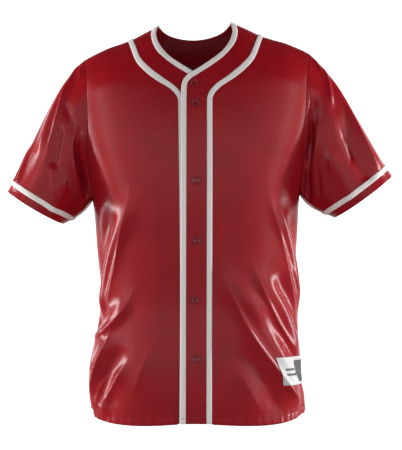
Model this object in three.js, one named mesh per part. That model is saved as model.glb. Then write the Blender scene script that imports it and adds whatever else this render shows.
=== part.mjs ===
import * as THREE from 'three';
import { mergeVertices } from 'three/addons/utils/BufferGeometryUtils.js';

// A short-sleeved, collarless baseball jersey, filled out as if worn, in millimetres.
// X runs to the wearer's left, Y to the back and Z up. The origin lies between the two
// neck points, where the shoulders carry the garment.

// Driving sizes
const CLOTH = 1.6;
const SEAM_GAP = 0.3;
const BRAID_WIDTH = 9.5;
const BRAID_THICKNESS = 1.2;
const LAP_RISE = 2.0;
const LAP_FALL = 2.6;
const LAP_BLEND = { from: 24.5, to: 70 };
const LAP_SHIFT = 4;
const LAP_SWAY = 4;
const LEAN = 0.028;
const LEAN_FADE = { from: -690, to: -300 };
const ARMPIT = -320;
const PLACKET_TOP = -146;
const CHEST_CENTRE = -150;
const SECTION_POWER = 2.3;
const SHOULDER_ROLL = 80;
const GIRTH_RADIUS = 165;
const RIGHT_ANGLE = Math.PI / 2;

// How many steps each stretch of the panels is divided into, how far the rows of the panels
// ease into the armpit, and how far in from an armhole the back's columns follow it
const ROWS_BELOW_ARMPIT = 22;
const ROWS_PLACKET_CHEST = 5;
const ROWS_NECK = 10;
const ROWS_ARMHOLE = ROWS_PLACKET_CHEST + ROWS_NECK;
const COLUMNS_FRONT = 12;
const COLUMNS_SHOULDER = 4;
const COLUMNS_NECK = 12;
const ROWS_SLEEVE = 12;
const ARMHOLE_EASE = 0.35;
const ARMHOLE_PULL = 0.55;
const DEPTH_PASSES = 5;

// Steps that the directions of the surface are measured with, as an angle and a length
const ANGLE_STEP = 0.012;
const REACH_STEP = 1.2;
const TINY = 1e-6;

// Colours and roughness of the cloth and the trims
const KNIT = { color: 0x8f1f2b, roughness: 0.42 };
const BRAID = { color: 0xdcdcd4, roughness: 0.75 };
const BUTTON_GLOSS = { color: 0x8f1f2b, roughness: 0.25 };
const WOVEN = { color: 0xd6d4ce, roughness: 0.7 };

// Body: half-width on the wearer's right and left, and depth to front and back, at each height
const BODY = [
  { z: -745, right: 196, left: 197, front: 124, back: 119 },
  { z: -690, right: 199, left: 196, front: 127, back: 122 },
  { z: -632, right: 202, left: 194, front: 127, back: 121 },
  { z: -573, right: 188, left: 188, front: 123, back: 113 },
  { z: -513, right: 181, left: 186, front: 119, back: 105 },
  { z: -409, right: 186, left: 187, front: 123, back: 108 },
  { z: -320, right: 194, left: 191, front: 127, back: 116 },
  { z: -260, right: 208, left: 206, front: 126, back: 121 },
  { z: -200, right: 224, left: 222, front: 121, back: 122 },
  { z: -120, right: 232, left: 231, front: 104, back: 112 },
  { z: -65, right: 236, left: 236, front: 86, back: 94 },
  { z: -20, right: 240, left: 240, front: 70, back: 80 },
  { z: 20, right: 242, left: 242, front: 62, back: 76 },
];

// Hem: its height at each number of degrees round from the middle
const HEM = [
  { turn: 0, z: -727 },
  { turn: 24, z: -732 },
  { turn: 44, z: -731 },
  { turn: 62, z: -725 },
  { turn: 78, z: -716 },
  { turn: 90, z: -710 },
];

// Shoulder ridge: its height at each distance from the middle of the body
const RIDGE = [
  { x: 0, z: 6 },
  { x: 60, z: 5 },
  { x: 73, z: 1 },
  { x: 95, z: -9 },
  { x: 117, z: -20 },
  { x: 140, z: -28.5 },
  { x: 162, z: -35.5 },
  { x: 184, z: -45 },
  { x: 206, z: -56 },
  { x: 229, z: -72 },
  { x: 250, z: -90 },
];

// Neck edge of a front, from the shoulder ridge to the top of the placket:
// distance out from the middle line of the placket, and height
const NECK_EDGE = [
  { out: 67, z: 3 },
  { out: 70.5, z: -14 },
  { out: 65, z: -35 },
  { out: 51, z: -55 },
  { out: 30, z: -72 },
  { out: 6, z: -87.5 },
  { out: -13, z: -99.5 },
  { out: -21.5, z: -112 },
  { out: -23.5, z: PLACKET_TOP },
];

// Middle of the outer braid of a front, in the same terms; its rows lie square across the
// band from the rows above
const BRAID_LINE = [
  { out: 123, z: -22 },
  { out: 115, z: -43 },
  { out: 105, z: -67 },
  { out: 85, z: -89 },
  { out: 63, z: -106 },
  { out: 44, z: -119 },
  { out: 33, z: -131 },
  { out: 28.5, z: -141 },
  { out: 28, z: PLACKET_TOP },
];

// The same two lines on the back: distance out from the middle, and height
const NECK_EDGE_BACK = [
  { out: 0, z: -21 },
  { out: 30, z: -17.5 },
  { out: 53, z: -9 },
  { out: 67, z: 3 },
];
const BRAID_LINE_BACK = [
  { out: 0, z: -68 },
  { out: 45, z: -62 },
  { out: 85, z: -47 },
  { out: 121, z: -22 },
];

// Armhole seam: how far round from the middle it lies at each height, in degrees
const ARMHOLE = [
  { z: ARMPIT, turn: 90 },
  { z: -312, turn: 80.5 },
  { z: -290, turn: 75.5 },
  { z: -250, turn: 68.5 },
  { z: -195, turn: 61 },
  { z: -150, turn: 58.5 },
  { z: -95, turn: 58 },
  { z: -57, turn: 59.5 },
];

// Folds of the body. Turn is in degrees from the middle of the front, negative on the
// wearer's right, 90 at the side seam and 180 at the middle of the back. A fold runs from
// (turn0, z0) to (turn1, z1), bows sideways, and has a half-width and a height of its own.
// Along its length it swells over one share and dies away over another, down to a rest.
const FOLD_SWELL = { from: -0.02, to: 0.25 };
const FOLD_DIE = { from: 1.04, to: 0.8 };
const FOLD_REST = 0.12;
const BODY_FOLDS = [
  { turn0: -33, z0: -318, turn1: -79, z1: -545, bow: 6, width: 18, height: 7 },
  { turn0: -50, z0: -330, turn1: -92, z1: -520, bow: 4, width: 23, height: -9 },
  { turn0: -38, z0: -500, turn1: -82, z1: -582, bow: -8, width: 17, height: 6 },
  { turn0: -58, z0: -520, turn1: -88, z1: -556, bow: 0, width: 18, height: -7 },
  { turn0: -52, z0: -560, turn1: -70, z1: -720, bow: 10, width: 23, height: 8 },
  { turn0: -40, z0: -585, turn1: -52, z1: -705, bow: 6, width: 20, height: -6 },
  { turn0: -37, z0: -622, turn1: -60, z1: -722, bow: 4, width: 14, height: 4 },
  { turn0: -86, z0: -600, turn1: -80, z1: -730, bow: 0, width: 20, height: -7 },
  { turn0: 45, z0: -335, turn1: 86, z1: -535, bow: -8, width: 17, height: 7 },
  { turn0: 62, z0: -345, turn1: 100, z1: -520, bow: -6, width: 23, height: -9 },
  { turn0: 29, z0: -450, turn1: 78, z1: -612, bow: -6, width: 19, height: 6 },
  { turn0: 45, z0: -462, turn1: 82, z1: -570, bow: -4, width: 19, height: -6 },
  { turn0: 11, z0: -462, turn1: 68, z1: -706, bow: -14, width: 23, height: 8 },
  { turn0: 32, z0: -530, turn1: 82, z1: -668, bow: -8, width: 23, height: -7 },
  { turn0: 22, z0: -590, turn1: 48, z1: -718, bow: -4, width: 20, height: -5 },
  { turn0: 72, z0: -640, turn1: 84, z1: -725, bow: 0, width: 18, height: 5 },
  { turn0: 116, z0: -335, turn1: 150, z1: -500, bow: 10, width: 24, height: -8 },
  { turn0: 102, z0: -430, turn1: 140, z1: -640, bow: 8, width: 23, height: 7 },
  { turn0: 122, z0: -560, turn1: 128, z1: -728, bow: 6, width: 24, height: -7 },
  { turn0: 160, z0: -480, turn1: 150, z1: -720, bow: -8, width: 24, height: 6 },
  { turn0: -112, z0: -340, turn1: -146, z1: -520, bow: -10, width: 24, height: -8 },
  { turn0: -104, z0: -450, turn1: -136, z1: -650, bow: -6, width: 23, height: 7 },
  { turn0: -118, z0: -590, turn1: -124, z1: -728, bow: 4, width: 23, height: -7 },
  { turn0: -166, z0: -500, turn1: -154, z1: -722, bow: 8, width: 26, height: 6 },
];

// Sleeves: the cuff ring's middle, the direction from there to its inner lower corner,
// its half-widths, and the directions in which the cloth leaves the armhole and meets the cuff
const SLEEVES = {
  left: {
    side: 1,
    cuff: [308, -4, -317],
    inner: [-0.808, 0, -0.589],
    halfWidth: 67,
    halfDepth: 64,
    leaveTop: [0.8, 0, -0.6],
    leaveUnder: [0.42, 0, -0.91],
    meetTop: [0.62, 0, -0.78],
    meetUnder: [0.85, 0, -0.53],
  },
  right: {
    side: -1,
    cuff: [-299.5, -4, -337],
    inner: [0.8615, 0, -0.508],
    halfWidth: 61,
    halfDepth: 62,
    leaveTop: [-0.84, 0, -0.54],
    leaveUnder: [-0.42, 0, -0.91],
    meetTop: [-0.62, 0, -0.78],
    meetUnder: [-0.86, 0, -0.5],
  },
};
const SLEEVE_START_PULL = { top: 0.75, under: 1.3 };
const SLEEVE_END_PULL = 0.55;
const CUFF_TIP = 4;
const CUFF_BRAID_RISE = 19;
const SLEEVE_RADIUS = 75;
const SLEEVE_LENGTH = 200;

// Shares of the sleeve's length, or of the way down to the underarm, over which its wall
// turns from the armhole's direction to its own, and over which its folds begin
const SLEEVE_SETTLE = { from: 0, to: 0.12 };
const UNDERARM_SETTLE = { from: 0.75, to: 0.97 };
const SLEEVE_FOLDS_BEGIN = { from: 0, to: 0.08 };

// Folds of the sleeves: turn in degrees from the top through the front (90) to the underarm
// (180) and the back (270), and the share of the way from the armhole to the cuff
const SLEEVE_FOLDS = {
  left: [
    { turn0: 62, along0: 0.2, turn1: 140, along1: 0.1, bow: 6, width: 13, height: -9 },
    { turn0: 140, along0: 0.1, turn1: 172, along1: 0.3, bow: 0, width: 12, height: -6 },
    { turn0: 25, along0: 0.12, turn1: 36, along1: 0.92, bow: 4, width: 17, height: 6 },
    { turn0: 58, along0: 0.38, turn1: 66, along1: 0.9, bow: 5, width: 13, height: -5 },
    { turn0: 98, along0: 0.3, turn1: 108, along1: 0.95, bow: -4, width: 16, height: 5 },
    { turn0: 232, along0: 0.12, turn1: 205, along1: 0.6, bow: 4, width: 15, height: -7 },
    { turn0: 300, along0: 0.2, turn1: 290, along1: 0.85, bow: -4, width: 18, height: 6 },
  ],
  right: [
    { turn0: 84, along0: 0.22, turn1: 168, along1: 0.14, bow: 5, width: 13, height: -9 },
    { turn0: 34, along0: 0.1, turn1: 52, along1: 0.62, bow: -5, width: 15, height: 7 },
    { turn0: 62, along0: 0.34, turn1: 84, along1: 0.56, bow: 0, width: 12, height: -5 },
    { turn0: 108, along0: 0.4, turn1: 112, along1: 0.95, bow: 3, width: 17, height: 5 },
    { turn0: 14, along0: 0.6, turn1: 24, along1: 0.96, bow: 0, width: 14, height: 4 },
    { turn0: 236, along0: 0.12, turn1: 206, along1: 0.62, bow: -4, width: 15, height: -7 },
    { turn0: 298, along0: 0.25, turn1: 286, along1: 0.85, bow: 4, width: 18, height: 6 },
  ],
};

// Buttons: where each sits on the placket, beside its middle line and in height
const BUTTONS = [
  { aside: 0.5, z: -113.5 },
  { aside: 2.4, z: -150 },
  { aside: 5.0, z: -290 },
  { aside: 7.6, z: -397 },
  { aside: 5.1, z: -504 },
  { aside: 7.9, z: -610 },
];
const BUTTON = { radius: 7.5, thickness: 2.6, dish: 5.2, dishDepth: 0.9, bevel: 0.6, faces: 16 };

// Patch: how far round from the middle its two upright edges lie, and the heights of its
// lower and upper edge at the inner one
const PATCH = { inner: 44.5, outer: 79, low: -660, high: -611, thickness: 1, clearance: 1.4 };

// A smooth curve through a table's rows: gives one column's value at a value of the key
function curveThrough(rows, key, column) {
  const sorted = [...rows].sort((first, second) => first[key] - second[key]);
  const at = sorted.map((row) => row[key]);
  const value = sorted.map((row) => row[column]);
  const last = at.length - 1;
  const slope = at.map((_, i) => {
    const before = Math.max(i - 1, 0);
    const after = Math.min(i + 1, last);
    return (value[after] - value[before]) / (at[after] - at[before]);
  });
  return (where) => {
    const clamped = Math.min(Math.max(where, at[0]), at[last]);
    let i = 0;
    while (i < last - 1 && clamped > at[i + 1]) i += 1;
    const span = at[i + 1] - at[i];
    const t = (clamped - at[i]) / span;
    const rise = t * t * (3 - 2 * t);
    const start = t * (1 - t) * (1 - t);
    const end = t * t * (t - 1);
    return value[i] * (1 - rise) + value[i + 1] * rise + span * (slope[i] * start + slope[i + 1] * end);
  };
}

const lerp = THREE.MathUtils.lerp;
const radians = THREE.MathUtils.degToRad;

// Rises softly from 0 at the first value to 1 at the second, which may be the lower one
function smooth(from, to, value) {
  const t = THREE.MathUtils.clamp((value - from) / (to - from), 0, 1);
  return t * t * (3 - 2 * t);
}

const halfWidthLeft = curveThrough(BODY, 'z', 'left');
const halfWidthRight = curveThrough(BODY, 'z', 'right');
const depthFront = curveThrough(BODY, 'z', 'front');
const depthBack = curveThrough(BODY, 'z', 'back');
const ridgeAt = curveThrough(RIDGE, 'x', 'z');
const armholeAt = curveThrough(ARMHOLE, 'z', 'turn');
const hemAt = curveThrough(HEM, 'turn', 'z');

// Middle line of the placket: it drifts a little to the wearer's right towards the hem
const placketMiddle = (z) => lerp(-5, -10, smooth(PLACKET_TOP, HEM[0].z, z));

// How much farther under the left front the right one's band seam lies than its mirror image
function lapShift(z) {
  const down = THREE.MathUtils.clamp((z - PLACKET_TOP) / (HEM[0].z - PLACKET_TOP), 0, 1);
  return LAP_SHIFT + LAP_SWAY * Math.sin(down * 0.75 * Math.PI);
}

const halfWidth = (side, z) => (side > 0 ? halfWidthLeft(z) : halfWidthRight(z));
const bodyDepth = (face, z) => (face < 0 ? depthFront(z) : depthBack(z));

// The cloth rolls over the shoulder ridge: how far it has dropped after a reach along it
function dropAfter(reach) {
  const quarter = SHOULDER_ROLL * RIGHT_ANGLE;
  if (reach > quarter) return SHOULDER_ROLL + reach - quarter;
  return SHOULDER_ROLL * (1 - Math.cos(reach / SHOULDER_ROLL));
}

function reachOf(drop) {
  if (drop > SHOULDER_ROLL) return SHOULDER_ROLL * RIGHT_ANGLE + drop - SHOULDER_ROLL;
  return SHOULDER_ROLL * Math.acos(1 - Math.max(drop, 0) / SHOULDER_ROLL);
}

// A place on the body: the angle round from the middle and the reach down from the ridge
function placeOf(x, z) {
  const side = Math.sign(x) || 1;
  const share = Math.min(Math.abs(x) / halfWidth(side, z), 1);
  const angle = side * Math.asin(share ** (SECTION_POWER / 2));
  return { angle, reach: reachOf(ridgeAt(Math.abs(x)) - z) };
}

// The place at a height on a line that is a given angle round from the middle
function placeAtHeight(angle, z) {
  const side = Math.sign(angle) || 1;
  const x = halfWidth(side, z) * Math.sin(Math.abs(angle)) ** (2 / SECTION_POWER);
  return { angle, reach: reachOf(ridgeAt(x) - z) };
}

function smoothBody(face, { angle, reach }) {
  const side = Math.sign(angle) || 1;
  const spread = Math.sin(Math.abs(angle)) ** (2 / SECTION_POWER);
  let x = 0;
  let z = -dropAfter(reach);
  for (let pass = 0; pass < DEPTH_PASSES; pass += 1) {
    x = side * halfWidth(side, z) * spread;
    z = ridgeAt(Math.abs(x)) - dropAfter(reach);
  }
  const roll = Math.sin(Math.min(reach / SHOULDER_ROLL, RIGHT_ANGLE));
  const y = face * bodyDepth(face, z) * Math.max(Math.cos(angle), 0) ** (2 / SECTION_POWER) * roll;
  return new THREE.Vector3(x, y, z);
}

// Height of a set of folds at a place that is given as two lengths in millimetres
function foldHeight(folds, across, along, wrap) {
  return folds.reduce((sum, fold) => {
    const dx = fold.x1 - fold.x0;
    const dy = fold.y1 - fold.y0;
    const length = Math.hypot(dx, dy);
    let px = across - fold.x0;
    px -= wrap * Math.round(px / wrap);
    const py = along - fold.y0;
    const share = (px * dx + py * dy) / (length * length);
    const bowed = fold.bow * 4 * share * (1 - share);
    const off = (px * dy - py * dx) / length - bowed;
    const beyond = Math.max(0, -share, share - 1) * length;
    const swell = smooth(FOLD_SWELL.from, FOLD_SWELL.to, share);
    const fade = swell * smooth(FOLD_DIE.from, FOLD_DIE.to, share) + FOLD_REST;
    const spread = (off / fold.width) ** 2 + (beyond / fold.width) ** 2;
    return sum + fold.height * fade * Math.exp(-spread);
  }, 0);
}

const bodyFolds = BODY_FOLDS.map((fold) => ({
  ...fold,
  x0: radians(fold.turn0) * GIRTH_RADIUS,
  x1: radians(fold.turn1) * GIRTH_RADIUS,
  y0: fold.z0,
  y1: fold.z1,
}));

// A point of the outer face of the body cloth, and the direction that faces out of it
function bodySurface(face, place, lift = 0) {
  const { angle, reach } = place;
  const here = smoothBody(face, place);
  const side = Math.sign(angle) || 1;
  const outerAngle = Math.min(Math.abs(angle) + ANGLE_STEP, RIGHT_ANGLE) * side;
  const a1 = smoothBody(face, { angle: outerAngle, reach });
  const a0 = smoothBody(face, { angle: outerAngle - 2 * ANGLE_STEP * side, reach });
  const r1 = smoothBody(face, { angle, reach: reach + REACH_STEP });
  const r0 = smoothBody(face, { angle, reach: Math.max(reach - REACH_STEP, 0) });
  const normal = a1.sub(a0).cross(r1.sub(r0)).normalize();
  const outward = new THREE.Vector3(here.x, here.y, here.z - CHEST_CENTRE);
  if (normal.dot(outward) < 0) normal.negate();
  if (Math.abs(angle) > RIGHT_ANGLE - TINY || reach < TINY) {
    normal.setY(0).normalize();
  }
  const turn = face < 0 ? angle : side * Math.PI - angle;
  const wrap = 2 * Math.PI * GIRTH_RADIUS;
  const relief = foldHeight(bodyFolds, turn * GIRTH_RADIUS, here.z, wrap);
  const point = here.addScaledVector(normal, relief + lift);
  point.z += LEAN * point.x * smooth(LEAN_FADE.from, LEAN_FADE.to, point.z);
  return { point, normal };
}

// How far a front is lifted near the opening: the left one laps over the right one
function lapLift(side, x) {
  const near = 1 - smooth(LAP_BLEND.from, LAP_BLEND.to, Math.abs(x - placketMiddle(0)));
  return side > 0 ? LAP_RISE * near : -LAP_FALL * near;
}

// A closed wall from rows of places on its outer face; cloth thickness goes inward.
// A ring's rows close on themselves.
function wallGeometry(rows, thickness, { ring = false, lift = 0 } = {}) {
  const width = rows[0].length;
  const positions = [];
  const outer = (i, j) => i * width + (j % width);
  const inner = (i, j) => rows.length * width + outer(i, j);
  for (const level of [lift, lift - thickness]) {
    for (const row of rows) {
      for (const { point, normal } of row) {
        positions.push(...point.clone().addScaledVector(normal, level));
      }
    }
  }
  const index = [];
  const quad = (a, b, c, d) => index.push(a, b, c, a, c, d);
  const columns = ring ? width : width - 1;
  const last = rows.length - 1;
  for (let i = 0; i < last; i += 1) {
    for (let j = 0; j < columns; j += 1) {
      quad(outer(i, j), outer(i, j + 1), outer(i + 1, j + 1), outer(i + 1, j));
      quad(inner(i, j), inner(i + 1, j), inner(i + 1, j + 1), inner(i, j + 1));
    }
  }
  for (let j = 0; j < columns; j += 1) {
    quad(outer(0, j), inner(0, j), inner(0, j + 1), outer(0, j + 1));
    quad(outer(last, j), outer(last, j + 1), inner(last, j + 1), inner(last, j));
  }
  if (!ring) {
    for (let i = 0; i < last; i += 1) {
      quad(outer(i, 0), outer(i + 1, 0), inner(i + 1, 0), inner(i, 0));
      quad(outer(i, columns), inner(i, columns), inner(i + 1, columns), outer(i + 1, columns));
    }
  }
  const geometry = new THREE.BufferGeometry();
  geometry.setAttribute('position', new THREE.Float32BufferAttribute(positions, 3));
  geometry.setIndex(index);
  return turnedOutward(geometry);
}

// Turns the faces over where the enclosed volume comes out negative
function turnedOutward(geometry) {
  const position = geometry.getAttribute('position');
  const corners = geometry.getIndex().array;
  const [a, b, c] = [new THREE.Vector3(), new THREE.Vector3(), new THREE.Vector3()];
  let volume = 0;
  for (let i = 0; i < corners.length; i += 3) {
    a.fromBufferAttribute(position, corners[i]);
    b.fromBufferAttribute(position, corners[i + 1]);
    c.fromBufferAttribute(position, corners[i + 2]);
    volume += a.dot(b.cross(c));
  }
  if (volume < 0) geometry.setIndex([...corners].reverse());
  geometry.computeVertexNormals();
  return geometry;
}

const jersey = new THREE.Group();

function addPiece(name, geometry, finish) {
  const material = new THREE.MeshStandardMaterial({ ...finish, metalness: 0 });
  const mesh = new THREE.Mesh(geometry, material);
  mesh.name = name;
  jersey.add(mesh);
  return mesh;
}

// Evenly spaced shares from 0 to 1
const shares = (steps) => Array.from({ length: steps + 1 }, (_, i) => i / steps);

// The hem runs level across the middle and rises towards the side seams; the rows above it
// even this out up to the armpit
function rowHeight(angle, row) {
  const hem = hemAt(THREE.MathUtils.radToDeg(Math.abs(angle)));
  return lerp(hem, ARMPIT, row / ROWS_BELOW_ARMPIT);
}

// A line of table rows made into a curve that is walked from its last row to its first
function lineFromTable(rows, toPlace) {
  const points = [...rows].reverse().map((row) => new THREE.Vector3(row.out, row.z, 0));
  const curve = new THREE.CatmullRomCurve3(points, false, 'centripetal');
  return (share) => {
    const point = curve.getPoint(share);
    return toPlace(point.x, point.y);
  };
}

// One front: its band edge, the seam under the outer braid, and the side and armhole edge,
// each as a list of places from the hem to the shoulder ridge
function frontLines(side) {
  const edgePlace = (out, z) => placeOf(placketMiddle(z) + side * out, z);
  const seamPlace = (out, z) => edgePlace(side > 0 ? out : out - lapShift(z), z);
  const edgeCurve = lineFromTable(NECK_EDGE, edgePlace);
  const braidCurve = lineFromTable(BRAID_LINE, seamPlace);
  const edge = [];
  const seam = [];
  const outside = [];
  const straightRows = ROWS_BELOW_ARMPIT + ROWS_PLACKET_CHEST;
  for (let i = 0; i < straightRows; i += 1) {
    const chestShare = Math.max(i - ROWS_BELOW_ARMPIT, 0) / ROWS_PLACKET_CHEST;
    const z = lerp(rowHeight(0, Math.min(i, ROWS_BELOW_ARMPIT)), PLACKET_TOP, chestShare);
    edge.push(edgePlace(NECK_EDGE.at(-1).out, z));
    seam.push(seamPlace(BRAID_LINE.at(-1).out, z));
  }
  for (const share of shares(ROWS_NECK)) {
    edge.push(edgeCurve(share));
    seam.push(braidCurve(share));
  }
  edge.at(-1).reach = 0;
  seam.at(-1).reach = 0;
  for (let i = 0; i < ROWS_BELOW_ARMPIT; i += 1) {
    outside.push(placeAtHeight(side * RIGHT_ANGLE, rowHeight(RIGHT_ANGLE, i)));
  }
  outside.push(...armholeLine(side));
  return { edge, seam, outside };
}

// Places along an armhole from the armpit up to the shoulder ridge
function armholeLine(side) {
  const shoulder = halfWidth(side, ARMHOLE.at(-1).z) * Math.sin(radians(ARMHOLE.at(-1).turn));
  const lowest = reachOf(ridgeAt(shoulder) - ARMPIT);
  return shares(ROWS_ARMHOLE).map((share) => {
    const eased = lerp(share, (1 - Math.cos(share * Math.PI)) / 2, ARMHOLE_EASE);
    const z = ridgeAt(shoulder) - dropAfter(lowest * (1 - eased));
    const place = placeAtHeight(side * radians(armholeAt(z)), z);
    return { ...place, reach: share === 1 ? 0 : place.reach };
  });
}

const lerpPlace = (from, to, share) => ({
  angle: lerp(from.angle, to.angle, share),
  reach: lerp(from.reach, to.reach, share),
});

// Moves a line of places sideways over the cloth by a length, square to the line and
// toward the places of another line. A place on the shoulder ridge stays on it.
function movedLine(face, line, toward, length) {
  return line.map(({ angle, reach }, i) => {
    const here = smoothBody(face, { angle, reach });
    const inward = angle - Math.sign(angle) * Math.min(ANGLE_STEP, Math.abs(angle));
    const nextRound = here.distanceTo(smoothBody(face, { angle: inward, reach }));
    const nextDown = here.distanceTo(smoothBody(face, { angle, reach: reach + REACH_STEP }));
    const perAngle = nextRound / Math.abs(angle - inward) || GIRTH_RADIUS;
    const perReach = nextDown / REACH_STEP;
    const before = line[Math.max(i - 1, 0)];
    const after = line[Math.min(i + 1, line.length - 1)];
    const runRound = (after.angle - before.angle) * perAngle;
    const runDown = (after.reach - before.reach) * perReach;
    const aside = new THREE.Vector2(-runDown, runRound).normalize();
    if (reach === 0) aside.set(Math.sign(aside.x), 0);
    const aimDown = (toward[i].reach - reach) / GIRTH_RADIUS;
    const signed = aside.dot(new THREE.Vector2(toward[i].angle - angle, aimDown)) < 0 ? -length : length;
    const moved = reach + (signed * aside.y) / perReach;
    return { angle: angle + (signed * aside.x) / perAngle, reach: Math.max(moved, 0) };
  });
}

const surfaceRow = (face, places, liftOf) => places.map((place) => {
  return bodySurface(face, place, liftOf(place));
});

// Moves the points of a piece off the middle plane between front and back, half a gap
function clearOfMiddlePlane(rows, face) {
  for (const row of rows) {
    for (const { point } of row) {
      if (Math.abs(point.y) < SEAM_GAP / 2) point.y = (face * SEAM_GAP) / 2;
    }
  }
}

const plainColumns = shares(COLUMNS_FRONT - 1);
const halfBraid = BRAID_WIDTH / 2;

function addFront(sideName, side) {
  const { edge, seam, outside } = frontLines(side);
  const face = -1;
  const liftOf = (place) => lapLift(side, smoothBody(face, place).x);
  const panelRows = [];
  const bandRows = [];
  const panelStart = movedLine(face, seam, edge, -SEAM_GAP / 2);
  const bandStart = movedLine(face, seam, edge, SEAM_GAP / 2);
  const braidOutside = movedLine(face, seam, edge, -halfBraid);
  const braidInside = movedLine(face, seam, edge, halfBraid);
  const edgeBraidInside = movedLine(face, edge, seam, BRAID_WIDTH);
  for (let i = 0; i < seam.length; i += 1) {
    const fromSide = plainColumns.map((share) => lerpPlace(outside[i], braidOutside[i], share));
    if (i < ROWS_BELOW_ARMPIT) {
      for (const place of fromSide.slice(0, -1)) {
        place.reach = placeAtHeight(place.angle, rowHeight(place.angle, i)).reach;
      }
    }
    panelRows.push(surfaceRow(face, [...fromSide, panelStart[i]], liftOf));
    const middle = lerpPlace(braidInside[i], edgeBraidInside[i], 0.5);
    const bandPlaces = [bandStart[i], braidInside[i], middle, edgeBraidInside[i], edge[i]];
    bandRows.push(surfaceRow(face, bandPlaces, liftOf));
  }
  clearOfMiddlePlane(panelRows, face);
  clearOfMiddlePlane(bandRows, face);
  addPiece(`front_${sideName}`, wallGeometry(panelRows, CLOTH), KNIT);
  addPiece(`placket_${sideName}`, wallGeometry(bandRows, CLOTH), KNIT);
  const onTop = { lift: SEAM_GAP + BRAID_THICKNESS };
  const outerRows = panelRows.map((row, i) => [...row.slice(-2), ...bandRows[i].slice(0, 2)]);
  addPiece(`outer_braid_${sideName}`, wallGeometry(outerRows, BRAID_THICKNESS, onTop), BRAID);
  const edgeRows = bandRows.map((row) => [row[3], row[4]]);
  addPiece(`edge_braid_${sideName}`, wallGeometry(edgeRows, BRAID_THICKNESS, onTop), BRAID);
  return { panelRows, braidAngle: braidOutside[0].angle };
}

// Places across the back, from the wearer's right to the left, along a line that is given
// from the middle outwards
function acrossBack(rows, offset) {
  const points = rows.map((row) => new THREE.Vector3(row.out, row.z, 0));
  const mirrored = points.slice(1).reverse().map((point) => new THREE.Vector3(-point.x, point.y, 0));
  const curve = new THREE.CatmullRomCurve3([...mirrored, ...points], false, 'centripetal');
  const places = shares(COLUMNS_NECK).map((share) => {
    const point = curve.getPoint(share);
    return placeOf(point.x + offset, point.y);
  });
  places[0].reach = 0;
  places.at(-1).reach = 0;
  return places;
}

function addBack() {
  const face = 1;
  const flat = () => 0;
  const edge = acrossBack(NECK_EDGE_BACK, placketMiddle(0));
  const seam = acrossBack(BRAID_LINE_BACK, placketMiddle(0) + LAP_SHIFT / 2);
  const armholes = { left: armholeLine(1), right: armholeLine(-1) };
  const shoulder = (from, to) => shares(COLUMNS_SHOULDER).map((share) => {
    const angle = lerp(from.angle, to.angle, share);
    return { angle, reach: 0 };
  });
  const rightShoulder = shoulder(armholes.right.at(-1), seam[0]);
  const leftShoulder = shoulder(seam.at(-1), armholes.left.at(-1));
  const top = [...rightShoulder.slice(0, -1), ...seam, ...leftShoulder.slice(1)];
  const angles = top.map((_, j) => lerp(-RIGHT_ANGLE, RIGHT_ANGLE, j / (top.length - 1)));
  const panelRows = [];
  for (let i = 0; i < ROWS_BELOW_ARMPIT; i += 1) {
    const places = angles.map((angle) => placeAtHeight(angle, rowHeight(angle, i)));
    panelRows.push(surfaceRow(face, places, flat));
  }
  const last = top.length - 1;
  const chest = angles.map((angle) => placeAtHeight(angle, ARMPIT));
  for (let i = 0; i <= ROWS_ARMHOLE; i += 1) {
    const share = i / ROWS_ARMHOLE;
    const straight = top.map((place, j) => lerpPlace(chest[j], place, share));
    const places = straight.map((place, j) => {
      const leftPull = smooth(1 - ARMHOLE_PULL, 1, j / last);
      const rightPull = smooth(ARMHOLE_PULL, 0, j / last);
      const pull = (column) => leftPull * (armholes.left[i][column] - straight[last][column])
        + rightPull * (armholes.right[i][column] - straight[0][column]);
      return { angle: place.angle + pull('angle'), reach: Math.max(place.reach + pull('reach'), 0) };
    });
    panelRows.push(surfaceRow(face, places, flat));
  }
  const firstNeck = COLUMNS_SHOULDER;
  const panelStart = movedLine(face, seam, edge, -SEAM_GAP / 2);
  const bandStart = movedLine(face, seam, edge, SEAM_GAP / 2);
  const braidOutside = movedLine(face, seam, edge, -halfBraid);
  const braidInside = movedLine(face, seam, edge, halfBraid);
  const edgeBraidInside = movedLine(face, edge, seam, BRAID_WIDTH);
  const bandRows = seam.map((_, j) => {
    panelRows.at(-1)[firstNeck + j] = bodySurface(face, panelStart[j]);
    panelRows.at(-2)[firstNeck + j] = bodySurface(face, braidOutside[j]);
    const middle = lerpPlace(braidInside[j], edgeBraidInside[j], 0.5);
    const places = [bandStart[j], braidInside[j], middle, edgeBraidInside[j], edge[j]];
    return surfaceRow(face, places, flat);
  });
  clearOfMiddlePlane(panelRows, face);
  clearOfMiddlePlane(bandRows, face);
  addPiece('back', wallGeometry(panelRows, CLOTH), KNIT);
  addPiece('neck_back', wallGeometry(bandRows, CLOTH), KNIT);
  const onTop = { lift: SEAM_GAP + BRAID_THICKNESS };
  const outerRows = bandRows.map((row, j) => {
    const column = firstNeck + j;
    return [panelRows.at(-2)[column], panelRows.at(-1)[column], row[0], row[1]];
  });
  addPiece('outer_braid_back', wallGeometry(outerRows, BRAID_THICKNESS, onTop), BRAID);
  const edgeRows = bandRows.map((row) => [row[3], row[4]]);
  addPiece('edge_braid_back', wallGeometry(edgeRows, BRAID_THICKNESS, onTop), BRAID);
  return panelRows;
}

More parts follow.
